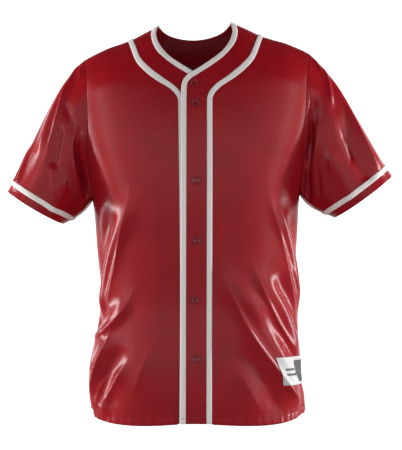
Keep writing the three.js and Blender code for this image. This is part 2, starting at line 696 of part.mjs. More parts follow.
// The armhole ring that a sleeve is set into, from the shoulder down the front edge to the
// armpit and up the back edge
function armholeRing(frontRows, backRows, side) {
  const frontEdge = frontRows.slice(ROWS_BELOW_ARMPIT).map((row) => row[0]).reverse();
  const column = side > 0 ? -1 : 0;
  const backEdge = backRows.slice(ROWS_BELOW_ARMPIT).map((row) => row.at(column));
  const ring = [...frontEdge, ...backEdge.slice(1, -1)];
  const armpitIndex = frontEdge.length - 1;
  return ring.map(({ point, normal }, i) => {
    const before = ring.at(i - 1).point;
    const after = ring[(i + 1) % ring.length].point;
    const outward = after.clone().sub(before).cross(normal).normalize().multiplyScalar(-side);
    const start = point.clone().addScaledVector(outward, SEAM_GAP);
    if (i === 0 || i === armpitIndex) start.setY(0);
    const turn = i <= armpitIndex
      ? (i / armpitIndex) * Math.PI
      : Math.PI + ((i - armpitIndex) / (ring.length - armpitIndex)) * Math.PI;
    return { start, normal, turn };
  });
}

function addSleeve(sideName, frontRows, backRows) {
  const sizes = SLEEVES[sideName];
  const vector = (list) => new THREE.Vector3(...list);
  const ring = armholeRing(frontRows, backRows, sizes.side);
  const folds = SLEEVE_FOLDS[sideName].map((fold) => ({
    ...fold,
    x0: radians(fold.turn0) * SLEEVE_RADIUS,
    x1: radians(fold.turn1) * SLEEVE_RADIUS,
    y0: fold.along0 * SLEEVE_LENGTH,
    y1: fold.along1 * SLEEVE_LENGTH,
  }));
  const wrap = 2 * Math.PI * SLEEVE_RADIUS;
  const middle = new THREE.Vector3();
  for (const { start } of ring) middle.addScaledVector(start, 1 / ring.length);
  const braidShares = [halfBraid, -halfBraid].map((side) => 1 - (CUFF_BRAID_RISE + side) / SLEEVE_LENGTH);
  const upperShares = shares(ROWS_SLEEVE - 2).slice(0, -1).map((share) => share * braidShares[0]);
  const stops = [...upperShares, ...braidShares, 1];
  const columnAt = ({ start, turn }) => {
    const under = (1 - Math.cos(turn)) / 2;
    const end = vector(sizes.cuff).addScaledVector(vector(sizes.inner), -Math.cos(turn) * sizes.halfWidth);
    end.y -= Math.sin(turn) * sizes.halfDepth;
    end.z -= Math.sin(turn) * CUFF_TIP;
    const leave = vector(sizes.leaveTop).lerp(vector(sizes.leaveUnder), under).normalize();
    const meet = vector(sizes.meetTop).lerp(vector(sizes.meetUnder), under).normalize();
    const length = start.distanceTo(end);
    const startPull = length * lerp(SLEEVE_START_PULL.top, SLEEVE_START_PULL.under, under ** 2);
    return stops.map((t) => {
      const rise = t * t * (3 - 2 * t);
      const point = start.clone().lerp(end, rise);
      point.addScaledVector(leave, startPull * t * (1 - t) * (1 - t));
      point.addScaledVector(meet, length * SLEEVE_END_PULL * t * t * (t - 1));
      return point;
    });
  };
  const columns = ring.map(columnAt);
  const rows = stops.map((t, i) => ring.map(({ normal, turn }, j) => {
    const around = columns[(j + 1) % ring.length][i].clone().sub(columns.at(j - 1)[i]);
    const down = columns[j][Math.min(i + 1, stops.length - 1)].clone().sub(columns[j][Math.max(i - 1, 0)]);
    const facing = around.cross(down).normalize();
    const axis = middle.clone().lerp(vector(sizes.cuff), t);
    if (facing.dot(columns[j][i].clone().sub(axis)) < 0) facing.negate();
    const under = (1 - Math.cos(turn)) / 2;
    const settled = Math.max(
      smooth(SLEEVE_SETTLE.from, SLEEVE_SETTLE.to, t),
      smooth(UNDERARM_SETTLE.from, UNDERARM_SETTLE.to, under),
    );
    const direction = normal.clone().lerp(facing, settled).normalize();
    const relief = foldHeight(folds, turn * SLEEVE_RADIUS, t * SLEEVE_LENGTH, wrap)
      * smooth(SLEEVE_FOLDS_BEGIN.from, SLEEVE_FOLDS_BEGIN.to, t);
    const point = columns[j][i].clone().addScaledVector(direction, relief);
    return { point, normal: direction };
  }));
  addPiece(`sleeve_${sideName}`, wallGeometry(rows, CLOTH, { ring: true }), KNIT);
  const braidRows = rows.slice(-3, -1);
  const onTop = { ring: true, lift: SEAM_GAP + BRAID_THICKNESS };
  addPiece(`cuff_braid_${sideName}`, wallGeometry(braidRows, BRAID_THICKNESS, onTop), BRAID);
}

// A round button with a dished face and a raised rim, lying on the placket
function addButtons() {
  const { radius, thickness, dish, dishDepth, bevel, faces } = BUTTON;
  const profile = [
    [0, 0],
    [radius, 0],
    [radius, thickness - bevel],
    [radius - bevel, thickness],
    [dish + bevel, thickness],
    [dish, thickness - dishDepth],
    [0, thickness - dishDepth],
  ].map(([across, up]) => new THREE.Vector2(across, up));
  const geometry = new THREE.LatheGeometry(profile, faces);
  geometry.deleteAttribute('normal');
  geometry.deleteAttribute('uv');
  const merged = mergeVertices(geometry, 1e-4);
  BUTTONS.forEach(({ aside, z }, i) => {
    const x = placketMiddle(z) + aside;
    const { point, normal } = bodySurface(-1, placeOf(x, z), LAP_RISE);
    const button = addPiece(`button_${i + 1}`, turnedOutward(merged.clone()), BUTTON_GLOSS);
    button.quaternion.setFromUnitVectors(new THREE.Vector3(0, 1, 0), normal);
    button.position.copy(point).addScaledVector(normal, 2 * SEAM_GAP);
  });
}

// A point of a panel's outer face between its grid points, by row and column, on the same
// triangles as its wall
function onPanel(panelRows, row, column) {
  const i = Math.floor(row);
  const j = Math.floor(column);
  const up = row - i;
  const across = column - j;
  const [a, b] = [panelRows[i][j], panelRows[i][j + 1]];
  const [d, c] = [panelRows[i + 1][j], panelRows[i + 1][j + 1]];
  const weights = across > up
    ? [[a, 1 - across], [b, across - up], [c, up]]
    : [[a, 1 - up], [d, up - across], [c, across]];
  const mixed = { point: new THREE.Vector3(), normal: new THREE.Vector3() };
  for (const [corner, weight] of weights) {
    mixed.point.addScaledVector(corner.point, weight);
    mixed.normal.addScaledVector(corner.normal, weight);
  }
  mixed.normal.normalize();
  return mixed;
}

// Grid lines of a panel between two values, with the two values themselves at the ends
function gridStops(low, high) {
  const stops = [low];
  for (let line = Math.floor(low) + 1; line < high; line += 1) stops.push(line);
  return [...stops, high];
}

// A patch sewn low on the wearer's left side, lying on the front's cloth
function addPatch({ panelRows, braidAngle }) {
  const hem = rowHeight(radians(PATCH.inner), 0);
  const rowAt = (z) => (ROWS_BELOW_ARMPIT * (z - hem)) / (ARMPIT - hem);
  const columnAt = (turn) => {
    return ((COLUMNS_FRONT - 1) * (RIGHT_ANGLE - radians(turn))) / (RIGHT_ANGLE - braidAngle);
  };
  const columns = gridStops(columnAt(PATCH.outer), columnAt(PATCH.inner));
  const rows = gridStops(rowAt(PATCH.low), rowAt(PATCH.high)).map((row) => {
    return columns.map((column) => onPanel(panelRows, row, column));
  });
  const onTop = { lift: PATCH.clearance + PATCH.thickness };
  addPiece('hem_patch', wallGeometry(rows, PATCH.thickness, onTop), WOVEN);
}

const left = addFront('left', 1);
const right = addFront('right', -1);
const backRows = addBack();
addSleeve('left', left.panelRows, backRows);
addSleeve('right', right.panelRows, backRows);
addButtons();
addPatch(left);

export default jersey;
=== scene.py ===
"""A short-sleeved baseball jersey, filled out as if worn. Lengths are in millimetres and
become metres in the meshes. X runs to the wearer's left, Y to the back and Z up."""
import math

import bpy
import numpy as np
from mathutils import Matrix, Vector


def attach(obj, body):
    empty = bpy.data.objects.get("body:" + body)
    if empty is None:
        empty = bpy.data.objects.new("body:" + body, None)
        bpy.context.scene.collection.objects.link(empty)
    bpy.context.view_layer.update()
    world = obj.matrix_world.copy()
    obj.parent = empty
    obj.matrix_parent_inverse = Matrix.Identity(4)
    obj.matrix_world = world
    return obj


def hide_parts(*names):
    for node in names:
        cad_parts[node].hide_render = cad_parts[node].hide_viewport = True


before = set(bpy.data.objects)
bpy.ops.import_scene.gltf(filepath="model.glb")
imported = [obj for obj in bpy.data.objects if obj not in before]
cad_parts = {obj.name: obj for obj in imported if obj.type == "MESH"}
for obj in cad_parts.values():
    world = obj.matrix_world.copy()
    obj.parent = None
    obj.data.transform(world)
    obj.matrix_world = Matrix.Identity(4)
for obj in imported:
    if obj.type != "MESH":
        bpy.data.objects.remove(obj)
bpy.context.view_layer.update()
MM = 0.001

# Camera. It looks straight at the front from the height of the chest, and from far enough
# off that the garment is seen almost flat, as clothing is pictured for a catalogue.
PICTURE_SIZE = (402, 450)
MM_PER_PIXEL = 1.86
CAMERA = {"distance": 3500, "x": 7.4, "z": -370, "sensor": 36}


def placed(name, data):
    """A new object in the scene"""
    made = bpy.data.objects.new(name, data)
    bpy.context.scene.collection.objects.link(made)
    return made


camera = placed("camera", bpy.data.cameras.new("camera"))
camera.location = Vector((CAMERA["x"], -CAMERA["distance"], CAMERA["z"])) * MM
camera.rotation_euler = (math.pi / 2, 0, 0)
camera.data.sensor_width = CAMERA["sensor"]
camera.data.lens = CAMERA["sensor"] * CAMERA["distance"] / (PICTURE_SIZE[1] * MM_PER_PIXEL)
bpy.context.scene.camera = camera


# The two fronts. Each is cut from one layer of smooth, shiny polyester knit, from the seam
# of its front band to the side seam, the armhole and the shoulder, and hemmed below. Filled
# out, it lies on the form of the body, with long slanting folds towards the side seams.
CLOTH = 1.5
SEAM_GAP = 0.3
BRAID_WIDTH = 9.5
BRAID_THICKNESS = 1.2
LAP_RISE = 2.0
LAP_FALL = 2.6
LAP_BLEND = (24.5, 70)
LAP_SHIFT = 4
LAP_SWAY = 4
LAP_SWAY_TURN = 0.75 * math.pi
LEAN = 0.028
LEAN_FADE = (-690, -300)
ARMPIT = -320
PLACKET_TOP = -146
PLACKET_DRIFT = 1
CHEST_CENTRE = -150
SECTION_POWER = 2.3
SHOULDER_ROLL = 80
GIRTH_RADIUS = 165
QUARTER = math.pi / 2
ANGLE_STEP = 0.006
REACH_STEP = 0.6
TINY = 1e-6
SETTLING_ROUNDS = 5
PLACKET_ASIDE = -5

ROWS_BELOW_ARMPIT = 145
ROWS_PLACKET_CHEST = 45
ROWS_NECK = 75
ROWS_ARMHOLE = ROWS_PLACKET_CHEST + ROWS_NECK
COLUMNS_FRONT = 108
COLUMNS_BAND = 16
ARMHOLE_EASE = 0.35


def table(columns, *rows):
    """Rows of numbers with named columns"""
    return dict(zip(columns.split(), np.array(rows, float).T))


BODY = table(
    "z right left front back",
    (-745, 196, 197, 124, 119),
    (-690, 199, 196, 127, 122),
    (-632, 202, 194, 127, 121),
    (-573, 188, 188, 123, 113),
    (-513, 181, 186, 119, 105),
    (-409, 186, 187, 123, 108),
    (-320, 194, 191, 127, 116),
    (-260, 208, 206, 126, 121),
    (-200, 224, 222, 121, 122),
    (-120, 232, 231, 104, 112),
    (-65, 236, 236, 86, 94),
    (-20, 240, 240, 70, 80),
    (20, 242, 242, 62, 76),
)
HEM = table("turn z", (0, -727), (24, -732), (44, -731), (62, -725), (78, -716), (90, -710))
RIDGE = table(
    "x z",
    (0, 6), (60, 5), (73, 1), (95, -9), (117, -20), (140, -28.5),
    (162, -35.5), (184, -45), (206, -56), (229, -72), (250, -90),
)
ARMHOLE = table(
    "z turn",
    (ARMPIT, 90), (-312, 80.5), (-290, 75.5), (-250, 68.5),
    (-195, 61), (-150, 58.5), (-95, 58), (-57, 59.5),
)
NECK_EDGE = table(
    "out z",
    (67, 3), (70.5, -14), (65, -35), (51, -55), (30, -72),
    (6, -87.5), (-13, -99.5), (-21.5, -112), (-23.5, PLACKET_TOP),
)
BRAID_LINE = table(
    "out z",
    (123, -22), (115, -43), (105, -67), (85, -89), (63, -106),
    (44, -119), (33, -131), (28.5, -141), (28, PLACKET_TOP),
)


def smooth(start, end, value):
    """Rises softly from 0 at start to 1 at end, which may be the lower one"""
    t = np.clip((value - start) / (end - start), 0, 1)
    return t * t * (3 - 2 * t)


def curve_through(rows, key, column):
    """A smooth curve through a table's rows: one column's value at a value of the key"""
    order = np.argsort(rows[key])
    at, value = rows[key][order], rows[column][order]
    last = len(at) - 1
    before = np.maximum(np.arange(last + 1) - 1, 0)
    after = np.minimum(np.arange(last + 1) + 1, last)
    slope = (value[after] - value[before]) / (at[after] - at[before])

    def at_key(where):
        clamped = np.clip(where, at[0], at[-1])
        i = np.clip(np.searchsorted(at, clamped, side="left") - 1, 0, last - 1)
        span = at[i + 1] - at[i]
        t = (clamped - at[i]) / span
        rise = t * t * (3 - 2 * t)
        start, end = t * (1 - t) ** 2, t * t * (t - 1)
        level = value[i] * (1 - rise) + value[i + 1] * rise
        return level + span * (slope[i] * start + slope[i + 1] * end)

    return at_key


def drawn_curve(points, shares):
    """A curve drawn through a list of points, at shares of the way along it"""
    points = np.array(points, float)
    first, last = 2 * points[0] - points[1], 2 * points[-1] - points[-2]
    chain = np.vstack([first, points, last])
    at = np.array(shares) * (len(points) - 1)
    i = np.minimum(at.astype(int), len(points) - 2)
    t = (at - i)[:, None]
    a, b, c, d = (chain[i + k] for k in range(4))
    ab, bc, cd = (np.linalg.norm(q - p, axis=1)[:, None] ** 0.5 for p, q in ((a, b), (b, c), (c, d)))
    leave = bc * ((b - a) / ab - (c - a) / (ab + bc) + (c - b) / bc)
    meet = bc * ((c - b) / bc - (d - b) / (bc + cd) + (d - c) / cd)
    bend = 3 * (c - b) - 2 * leave - meet
    return b + t * leave + t * t * bend + t**3 * (2 * (b - c) + leave + meet)


half_width_left = curve_through(BODY, "z", "left")
half_width_right = curve_through(BODY, "z", "right")
depth_front = curve_through(BODY, "z", "front")
depth_back = curve_through(BODY, "z", "back")
ridge_at = curve_through(RIDGE, "x", "z")
armhole_at = curve_through(ARMHOLE, "z", "turn")
hem_at = curve_through(HEM, "turn", "z")


def paired(a, b):
    return np.stack(np.broadcast_arrays(a, b), axis=-1)


def unit(vector):
    return vector / np.linalg.norm(vector, axis=-1, keepdims=True)


def side_of(value):
    return np.where(np.asarray(value) < 0, -1.0, 1.0)


def half_width(side, z):
    return np.where(np.asarray(side) > 0, half_width_left(z), half_width_right(z))


def placket_middle(z):
    """The placket's middle line drifts a little to the wearer's right towards the hem"""
    return PLACKET_ASIDE - PLACKET_DRIFT * smooth(PLACKET_TOP, HEM["z"][0], z)


def lap_shift(z):
    """How much farther under the left front the right one's band seam lies"""
    down = np.clip((z - PLACKET_TOP) / (HEM["z"][0] - PLACKET_TOP), 0, 1)
    return LAP_SHIFT + LAP_SWAY * np.sin(down * LAP_SWAY_TURN)


def drop_after(reach):
    """How far the cloth has dropped after a reach along it from the shoulder ridge"""
    bent = SHOULDER_ROLL * (1 - np.cos(np.minimum(reach / SHOULDER_ROLL, QUARTER)))
    return bent + np.maximum(reach - SHOULDER_ROLL * QUARTER, 0)


def reach_of(drop):
    bent = SHOULDER_ROLL * np.arccos(1 - np.clip(drop / SHOULDER_ROLL, 0, 1))
    return bent + np.maximum(drop - SHOULDER_ROLL, 0)


def place_of(x, z):
    """A place on the body: the angle round from the middle, and the reach from the ridge"""
    x, z = np.broadcast_arrays(np.asarray(x, float), np.asarray(z, float))
    side = side_of(x)
    share = np.minimum(np.abs(x) / half_width(side, z), 1)
    return side * np.arcsin(share ** (SECTION_POWER / 2)), reach_of(ridge_at(np.abs(x)) - z)


def place_at_height(angle, z):
    side = side_of(angle)
    x = half_width(side, z) * np.sin(np.abs(angle)) ** (2 / SECTION_POWER)
    return angle + 0 * z, reach_of(ridge_at(x) - z)


def smooth_body(face, angle, reach):
    """The plain form of the body cloth, without folds, at a place on it"""
    side = side_of(angle)
    spread = np.sin(np.abs(angle)) ** (2 / SECTION_POWER)
    z = -drop_after(reach)
    for _ in range(SETTLING_ROUNDS):
        x = half_width(side, z) * spread
        z = ridge_at(x) - drop_after(reach)
    roll = np.sin(np.minimum(reach / SHOULDER_ROLL, QUARTER))
    depth = depth_front(z) if face < 0 else depth_back(z)
    y = face * depth * np.maximum(np.cos(angle), 0) ** (2 / SECTION_POWER) * roll
    return np.stack([side * x, y, z], axis=-1)


# Folds: two ends, a sideways bow, a half-width on each side and a height, in millimetres.
# A fold swells and dies away along its length. Turn is in degrees from the middle of the
# front, negative on the wearer's right, 90 at the side seam and 180 at the middle of the back.
FOLD_SWELL = (-0.02, 0.25)
FOLD_DIE = (1.04, 0.8)
FOLD_REST = 0.12
FOLD_COLUMNS = "turn0 z0 turn1 z1 bow right left height"
BODY_FOLDS = table(
    FOLD_COLUMNS,
    (-33, -318, -79, -545, 6, 18, 18, 7),
    (-50, -330, -92, -520, 4, 23, 23, -9),
    (-38, -500, -82, -582, -8, 17, 17, 6),
    (-58, -520, -88, -556, 0, 18, 18, -7),
    (-52, -560, -70, -720, 10, 23, 23, 8),
    (-40, -585, -52, -705, 6, 20, 20, -6),
    (-37, -622, -60, -722, 4, 14, 14, 4),
    (-86, -600, -80, -730, 0, 20, 20, -7),
    (45, -335, 86, -535, -8, 17, 17, 7),
    (62, -345, 100, -520, -6, 23, 23, -9),
    (29, -450, 78, -612, -6, 19, 19, 6),
    (45, -462, 82, -570, -4, 19, 19, -6),
    (11, -462, 68, -706, -14, 23, 23, 8),
    (32, -530, 82, -668, -8, 23, 23, -7),
    (22, -590, 48, -718, -4, 20, 20, -5),
    (72, -640, 84, -725, 0, 18, 18, 5),
    (116, -335, 150, -500, 10, 24, 24, -8),
    (102, -430, 140, -640, 8, 23, 23, 7),
    (122, -560, 128, -728, 6, 24, 24, -7),
    (160, -480, 150, -720, -8, 24, 24, 6),
    (-112, -340, -146, -520, -10, 24, 24, -8),
    (-104, -450, -136, -650, -6, 23, 23, 7),
    (-118, -590, -124, -728, 4, 23, 23, -7),
    (-166, -500, -154, -722, 8, 26, 26, 6),
)

# Creases that pressed and pulled cloth keeps on top of the folds, each through three points.
# On the front they are given by x and z, and on the back by turn and z. The crest is sharp,
# with a half-width on its right and on its left that sets how steeply each side falls.
CREST = 0.08
CREASE_SWELL = (0.0, 0.6)
CREASE_POINT = 0.35
CREASE_DIE = (1.0, 0.72)
FRONT_CREASES = table(
    "x0 z0 xm zm x1 z1 right left height",
    (-122, -270, -142, -415, -178, -560, 9, 24, 5.2),
    (126, -264, 156, -415, 190, -591, 24, 9, 5.2),
    (96, -420, 138, -531, 190, -618, 14, 9, 6.2),
    (36, -410, 100, -572, 188, -705, 20, 10, 9.6),
    (-110, -470, -143, -539, -186, -578, 8, 13, 5.2),
    (-150, -540, -172, -612, -189, -690, 9, 12, 5.6),
    (-160, -588, -179, -613, -188, -645, 6, 8, 2.6),
    (-114, -595, -149, -655, -172, -698, 8, 14, 5.2),
    (-157, -636, -175, -671, -181, -703, 6, 7, 2.4),
    (152, -650, 173, -678, 190, -702, 8, 6, 2.8),
    (164, -440, 178, -471, 183, -512, 8, 7, 2.4),
    (40, -405, 63, -460, 90, -515, 16, 12, 1.2),
    (-70, -560, -96, -620, -118, -690, 14, 16, 2.0),
    (60, -600, 88, -655, 120, -715, 16, 12, 1.6),
)
CREASE_COLUMNS = "turn0 z0 turnm zm turn1 z1 right left height"
BACK_CREASES = table(
    CREASE_COLUMNS,
    (118, -300, 136, -400, 148, -505, 20, 9, 3.4),
    (104, -440, 124, -540, 139, -640, 9, 18, 3.6),
    (97, -560, 108, -640, 116, -715, 10, 14, 3.2),
    (150, -470, 158, -560, 152, -650, 14, 12, 2.4),
    (172, -180, 160, -240, 140, -292, 14, 10, 2.0),
    (-116, -320, -134, -410, -148, -520, 9, 20, 3.6),
    (-102, -455, -121, -550, -137, -655, 17, 9, 3.4),
    (-98, -590, -106, -660, -112, -722, 13, 9, 3.0),
    (-158, -500, -166, -590, -157, -690, 12, 14, 2.6),
    (-170, -190, -156, -252, -138, -300, 10, 14, 2.0),
)


def beside(x0, y0, x1, y1, across, along, wrap):
    """How far along a line places lie, as a share of it, how far beside it, and its length"""
    dx, dy = x1 - x0, y1 - y0
    length = math.hypot(dx, dy)
    px = across - x0
    px = px - wrap * np.round(px / wrap)
    py = along - y0
    return (px * dx + py * dy) / length**2, (px * dy - py * dx) / length, length


def fold_height(folds, across, along, wrap):
    """The height of a set of folds at places given as two lengths in millimetres"""
    total = np.zeros(np.broadcast(across, along).shape)
    for x0, y0, x1, y1, bow, right, left, height in zip(*folds):
        share, off, length = beside(x0, y0, x1, y1, across, along, wrap)
        off = off - bow * 4 * share * (1 - share)
        beyond = np.maximum(np.maximum(-share, share - 1), 0) * length
        width = np.where(off > 0, right, left)
        fade = smooth(*FOLD_SWELL, share) * smooth(*FOLD_DIE, share) + FOLD_REST
        total += height * fade * np.exp(-((off / width) ** 2) - (beyond / width) ** 2)
    return total


def crease_height(creases, across, along, wrap):
    """The height of a set of creases at places given as two lengths in millimetres"""
    total = np.zeros(np.broadcast(across, along).shape)
    for x0, y0, xm, ym, x1, y1, right, left, height in zip(*creases):
        middle, aside, _ = beside(x0, y0, x1, y1, xm, ym, wrap)
        share, off, _ = beside(x0, y0, x1, y1, across, along, wrap)
        inside = np.clip(share, 0, 1)
        off = off - aside * inside * (1 - inside) / (middle * (1 - middle))
        width = np.where(off > 0, right, left) * (CREASE_POINT + (1 - CREASE_POINT) * inside)
        crest = np.exp(CREST - np.sqrt((off / width) ** 2 + CREST**2))
        total += height * smooth(*CREASE_SWELL, share) * smooth(*CREASE_DIE, share) * crest
    return total


# Sewing draws the knit in: two rows of hem stitching lie in shallow grooves, and the cloth
# between them and the edge ripples a little.
HEM_ROWS = (14, 21)
HEM_GROOVE = {"depth": 0.5, "width": 1.8}
HEM_RIPPLE = {"height": 0.4, "length": 17, "reach": 16}
HEM_WAVES = table("share rate phase", (1, 1, 0), (0.6, 0.37, 1.3), (0.4, 1.71, 0.4))


def hem_relief(turn, z):
    """How the hem's stitching shapes the cloth near its lower edge"""
    above = z - hem_at(np.degrees(np.arcsin(np.abs(np.sin(turn)))))
    groove = sum(np.exp(-(((above - row) / HEM_GROOVE["width"]) ** 2)) for row in HEM_ROWS)
    run = turn * GIRTH_RADIUS * 2 * math.pi / HEM_RIPPLE["length"]
    ripple = sum(share * np.sin(run * rate + phase) for share, rate, phase in zip(*HEM_WAVES.values()))
    fade = np.exp(-((np.maximum(above, 0) / HEM_RIPPLE["reach"]) ** 2))
    return HEM_RIPPLE["height"] * ripple * fade - HEM_GROOVE["depth"] * groove


def by_turn(folds, radius):
    """Folds given by degrees of turn, laid out flat"""
    x0, x1 = (np.radians(folds[key]) * radius for key in ("turn0", "turn1"))
    return [x0, folds["z0"], x1, folds["z1"]] + [folds[key] for key in ("bow", "right", "left", "height")]


body_folds = by_turn(BODY_FOLDS, GIRTH_RADIUS)
body_creases = []
for end in ("0", "m", "1"):
    on_front = place_of(FRONT_CREASES["x" + end], FRONT_CREASES["z" + end])[0]
    on_back = np.radians(BACK_CREASES["turn" + end])
    body_creases.append(np.concatenate([on_front, on_back]) * GIRTH_RADIUS)
    body_creases.append(np.concatenate([FRONT_CREASES["z" + end], BACK_CREASES["z" + end]]))
for key in ("right", "left", "height"):
    body_creases.append(np.concatenate([FRONT_CREASES[key], BACK_CREASES[key]]))


def body_surface(face, angle, reach, lift=0.0):
    """Points of the outer face of the body cloth and the directions that face out of it"""
    side = side_of(angle)
    outer = np.minimum(np.abs(angle) + ANGLE_STEP, QUARTER) * side
    round_step = smooth_body(face, outer, reach) - smooth_body(face, outer - 2 * ANGLE_STEP * side, reach)
    lower, upper = reach + REACH_STEP, np.maximum(reach - REACH_STEP, 0)
    down_step = smooth_body(face, angle, lower) - smooth_body(face, angle, upper)
    normal = np.cross(round_step, down_step)
    here = smooth_body(face, angle, reach)
    outward = here - [0, 0, CHEST_CENTRE]
    normal *= np.where((normal * outward).sum(-1) < 0, -1, 1)[..., None]
    at_edge = (np.abs(angle) > QUARTER - TINY) | (reach < TINY)
    normal[..., 1] = np.where(at_edge, 0, normal[..., 1])
    normal = unit(normal)
    turn = angle if face < 0 else side * math.pi - angle
    laid = turn * GIRTH_RADIUS, here[..., 2], 2 * math.pi * GIRTH_RADIUS
    relief = fold_height(body_folds, *laid) + crease_height(body_creases, *laid)
    relief += hem_relief(turn, here[..., 2])
    point = here + normal * (relief + lift)[..., None]
    point[..., 2] += LEAN * point[..., 0] * smooth(*LEAN_FADE, point[..., 2])
    return point, normal, paired(*laid[:2])


def lap_lift(side, x):
    """The left front is raised near the opening, and the right one under it is lowered"""
    near = 1 - smooth(*LAP_BLEND, np.abs(x - placket_middle(0)))
    return LAP_RISE * near if side > 0 else -LAP_FALL * near


def row_height(angle, share):
    """Height of the rows below the armpit, level at the armpit and following the hem below"""
    hem = hem_at(np.degrees(np.abs(angle)))
    return hem + (ARMPIT - hem) * share


def armhole_line(side):
    """Places along an armhole, from the armpit up to the shoulder ridge"""
    top_z, top_turn = ARMHOLE["z"][-1], math.radians(ARMHOLE["turn"][-1])
    top = half_width(side, top_z) * math.sin(top_turn) ** (2 / SECTION_POWER)
    lowest = reach_of(ridge_at(top) - ARMPIT)
    share = np.linspace(0, 1, ROWS_ARMHOLE + 1)
    eased = share + ARMHOLE_EASE * ((1 - np.cos(share * math.pi)) / 2 - share)
    z = ridge_at(top) - drop_after(lowest * (1 - eased))
    angle, reach = place_at_height(side * np.radians(armhole_at(z)), z)
    reach[-1] = 0
    return angle, reach


def front_lines(side):
    """A front's band edge, band seam and outside edge, from the hem up to the shoulder"""
    below = np.arange(ROWS_BELOW_ARMPIT) / ROWS_BELOW_ARMPIT
    chest = np.arange(ROWS_PLACKET_CHEST) / ROWS_PLACKET_CHEST
    neck = np.linspace(0, 1, ROWS_NECK + 1)
    z = np.concatenate([row_height(0, below), ARMPIT + (PLACKET_TOP - ARMPIT) * chest])

    def edge_place(out, z):
        return place_of(placket_middle(z) + side * out, z)

    def seam_place(out, z):
        return edge_place(out if side > 0 else out - lap_shift(z), z)

    def line(rows, to_place):
        points = paired(rows["out"], rows["z"])[::-1]
        curved = drawn_curve(points, neck)
        out = np.concatenate([np.full(len(z), rows["out"][-1]), curved[:, 0]])
        angle, reach = to_place(out, np.concatenate([z, curved[:, 1]]))
        reach[-1] = 0
        return angle, reach

    side_seam = place_at_height(np.full(len(below), side * QUARTER), row_height(QUARTER, below))
    outside = [np.concatenate(pair) for pair in zip(side_seam, armhole_line(side))]
    return line(NECK_EDGE, edge_place), line(BRAID_LINE, seam_place), outside


def moved_line(face, line, toward, length):
    """Moves a line of places sideways over the cloth, square to it, toward another line"""
    angle, reach = line
    here = smooth_body(face, angle, reach)
    inward = angle - side_of(angle) * np.minimum(ANGLE_STEP, np.abs(angle))
    next_round = np.linalg.norm(here - smooth_body(face, inward, reach), axis=-1)
    next_down = np.linalg.norm(here - smooth_body(face, angle, reach + REACH_STEP), axis=-1)
    turned = np.abs(angle - inward)
    per_angle = np.where(turned > TINY, next_round / np.maximum(turned, TINY), GIRTH_RADIUS)
    per_reach = next_down / REACH_STEP
    run_round = np.gradient(angle) * per_angle
    run_down = np.gradient(reach) * per_reach
    size = np.hypot(run_round, run_down)
    aside_round, aside_down = -run_down / size, run_round / size
    on_ridge = reach == 0
    aside_round = np.where(on_ridge, np.sign(aside_round), aside_round)
    aside_down = np.where(on_ridge, 0, aside_down)
    aim = aside_round * (toward[0] - angle) + aside_down * (toward[1] - reach) / GIRTH_RADIUS
    signed = np.where(aim < 0, -length, length)
    return angle + signed * aside_round / per_angle, np.maximum(reach + signed * aside_down / per_reach, 0)


def between(start, end, shares):
    """Places between two lines, one column for each share"""
    return [a[:, None] + (b - a)[:, None] * np.asarray(shares)[None, :] for a, b in zip(start, end)]


def band_lines(face, seam, edge):
    """The lines along a band at which its cloth and its braid begin and end"""
    half_braid = BRAID_WIDTH / 2
    beside_seam = {
        "panel_start": -SEAM_GAP / 2, "band_start": SEAM_GAP / 2,
        "braid_outside": -half_braid, "braid_inside": half_braid,
    }
    lines = {name: moved_line(face, seam, edge, length) for name, length in beside_seam.items()}
    lines["edge_braid_inside"] = moved_line(face, edge, seam, BRAID_WIDTH)
    return lines | {"edge": edge}


def clear_of_middle(point, face):
    """Keeps half a gap off the plane in which the front and back panels meet"""
    near = np.abs(point[..., 1]) < SEAM_GAP / 2
    point[..., 1] = np.where(near, face * SEAM_GAP / 2, point[..., 1])
    return point


def shell(name, point, normal, flat, thickness, lift=0.0, ring=False):
    """A closed sheet of cloth from a grid of points on its outer face. Its UV map holds
    the flat lengths in millimetres, so that the knit runs true along the piece."""
    rows, wide = flat.shape[:2]
    count = point.shape[1]
    levels = [point + normal * lift, point + normal * (lift - thickness)]
    vertices = np.concatenate([level.reshape(-1, 3) for level in levels]) * MM
    near = np.arange(rows * wide).reshape(rows, wide)
    far = near + rows * wide

    def quads(a, b, c, d):
        return np.stack([a, b, c, d], axis=-1).reshape(-1, 4)

    faces = [
        quads(near[:-1, :-1], near[:-1, 1:], near[1:, 1:], near[1:, :-1]),
        quads(far[:-1, :-1], far[1:, :-1], far[1:, 1:], far[:-1, 1:]),
        quads(near[0, :-1], far[0, :-1], far[0, 1:], near[0, 1:]),
        quads(near[-1, :-1], near[-1, 1:], far[-1, 1:], far[-1, :-1]),
    ]
    if not ring:
        faces.append(quads(near[:-1, 0], near[1:, 0], far[1:, 0], far[:-1, 0]))
        faces.append(quads(near[:-1, -1], far[:-1, -1], far[1:, -1], near[1:, -1]))
    corners = np.concatenate(faces)
    vertex = (np.arange(rows)[:, None] * count + np.arange(wide) % count).ravel()
    vertex = np.concatenate([vertex, vertex + rows * count])
    a, b, c, d = (vertices[vertex[corners[:, k]]] for k in range(4))
    if (np.cross(b - a, c - a) * a + np.cross(c - a, d - a) * a).sum() < 0:
        corners = corners[:, ::-1]
    mesh = bpy.data.meshes.new(name)
    mesh.from_pydata(vertices.tolist(), [], vertex[corners].tolist())
    lengths = np.concatenate([flat.reshape(-1, 2)] * 2)
    mesh.uv_layers.new(name="flat").data.foreach_set("uv", lengths[corners].astype("f").ravel())
    mesh.polygons.foreach_set("use_smooth", np.ones(len(corners), dtype=bool))
    mesh.update()
    return placed(name, mesh)


def stand_in(piece, node, material):
    """Puts a piece in the place of its solid, on the one body of the garment"""
    piece.data.materials.append(material)
    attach(piece, "root")
    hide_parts(node)
    return piece


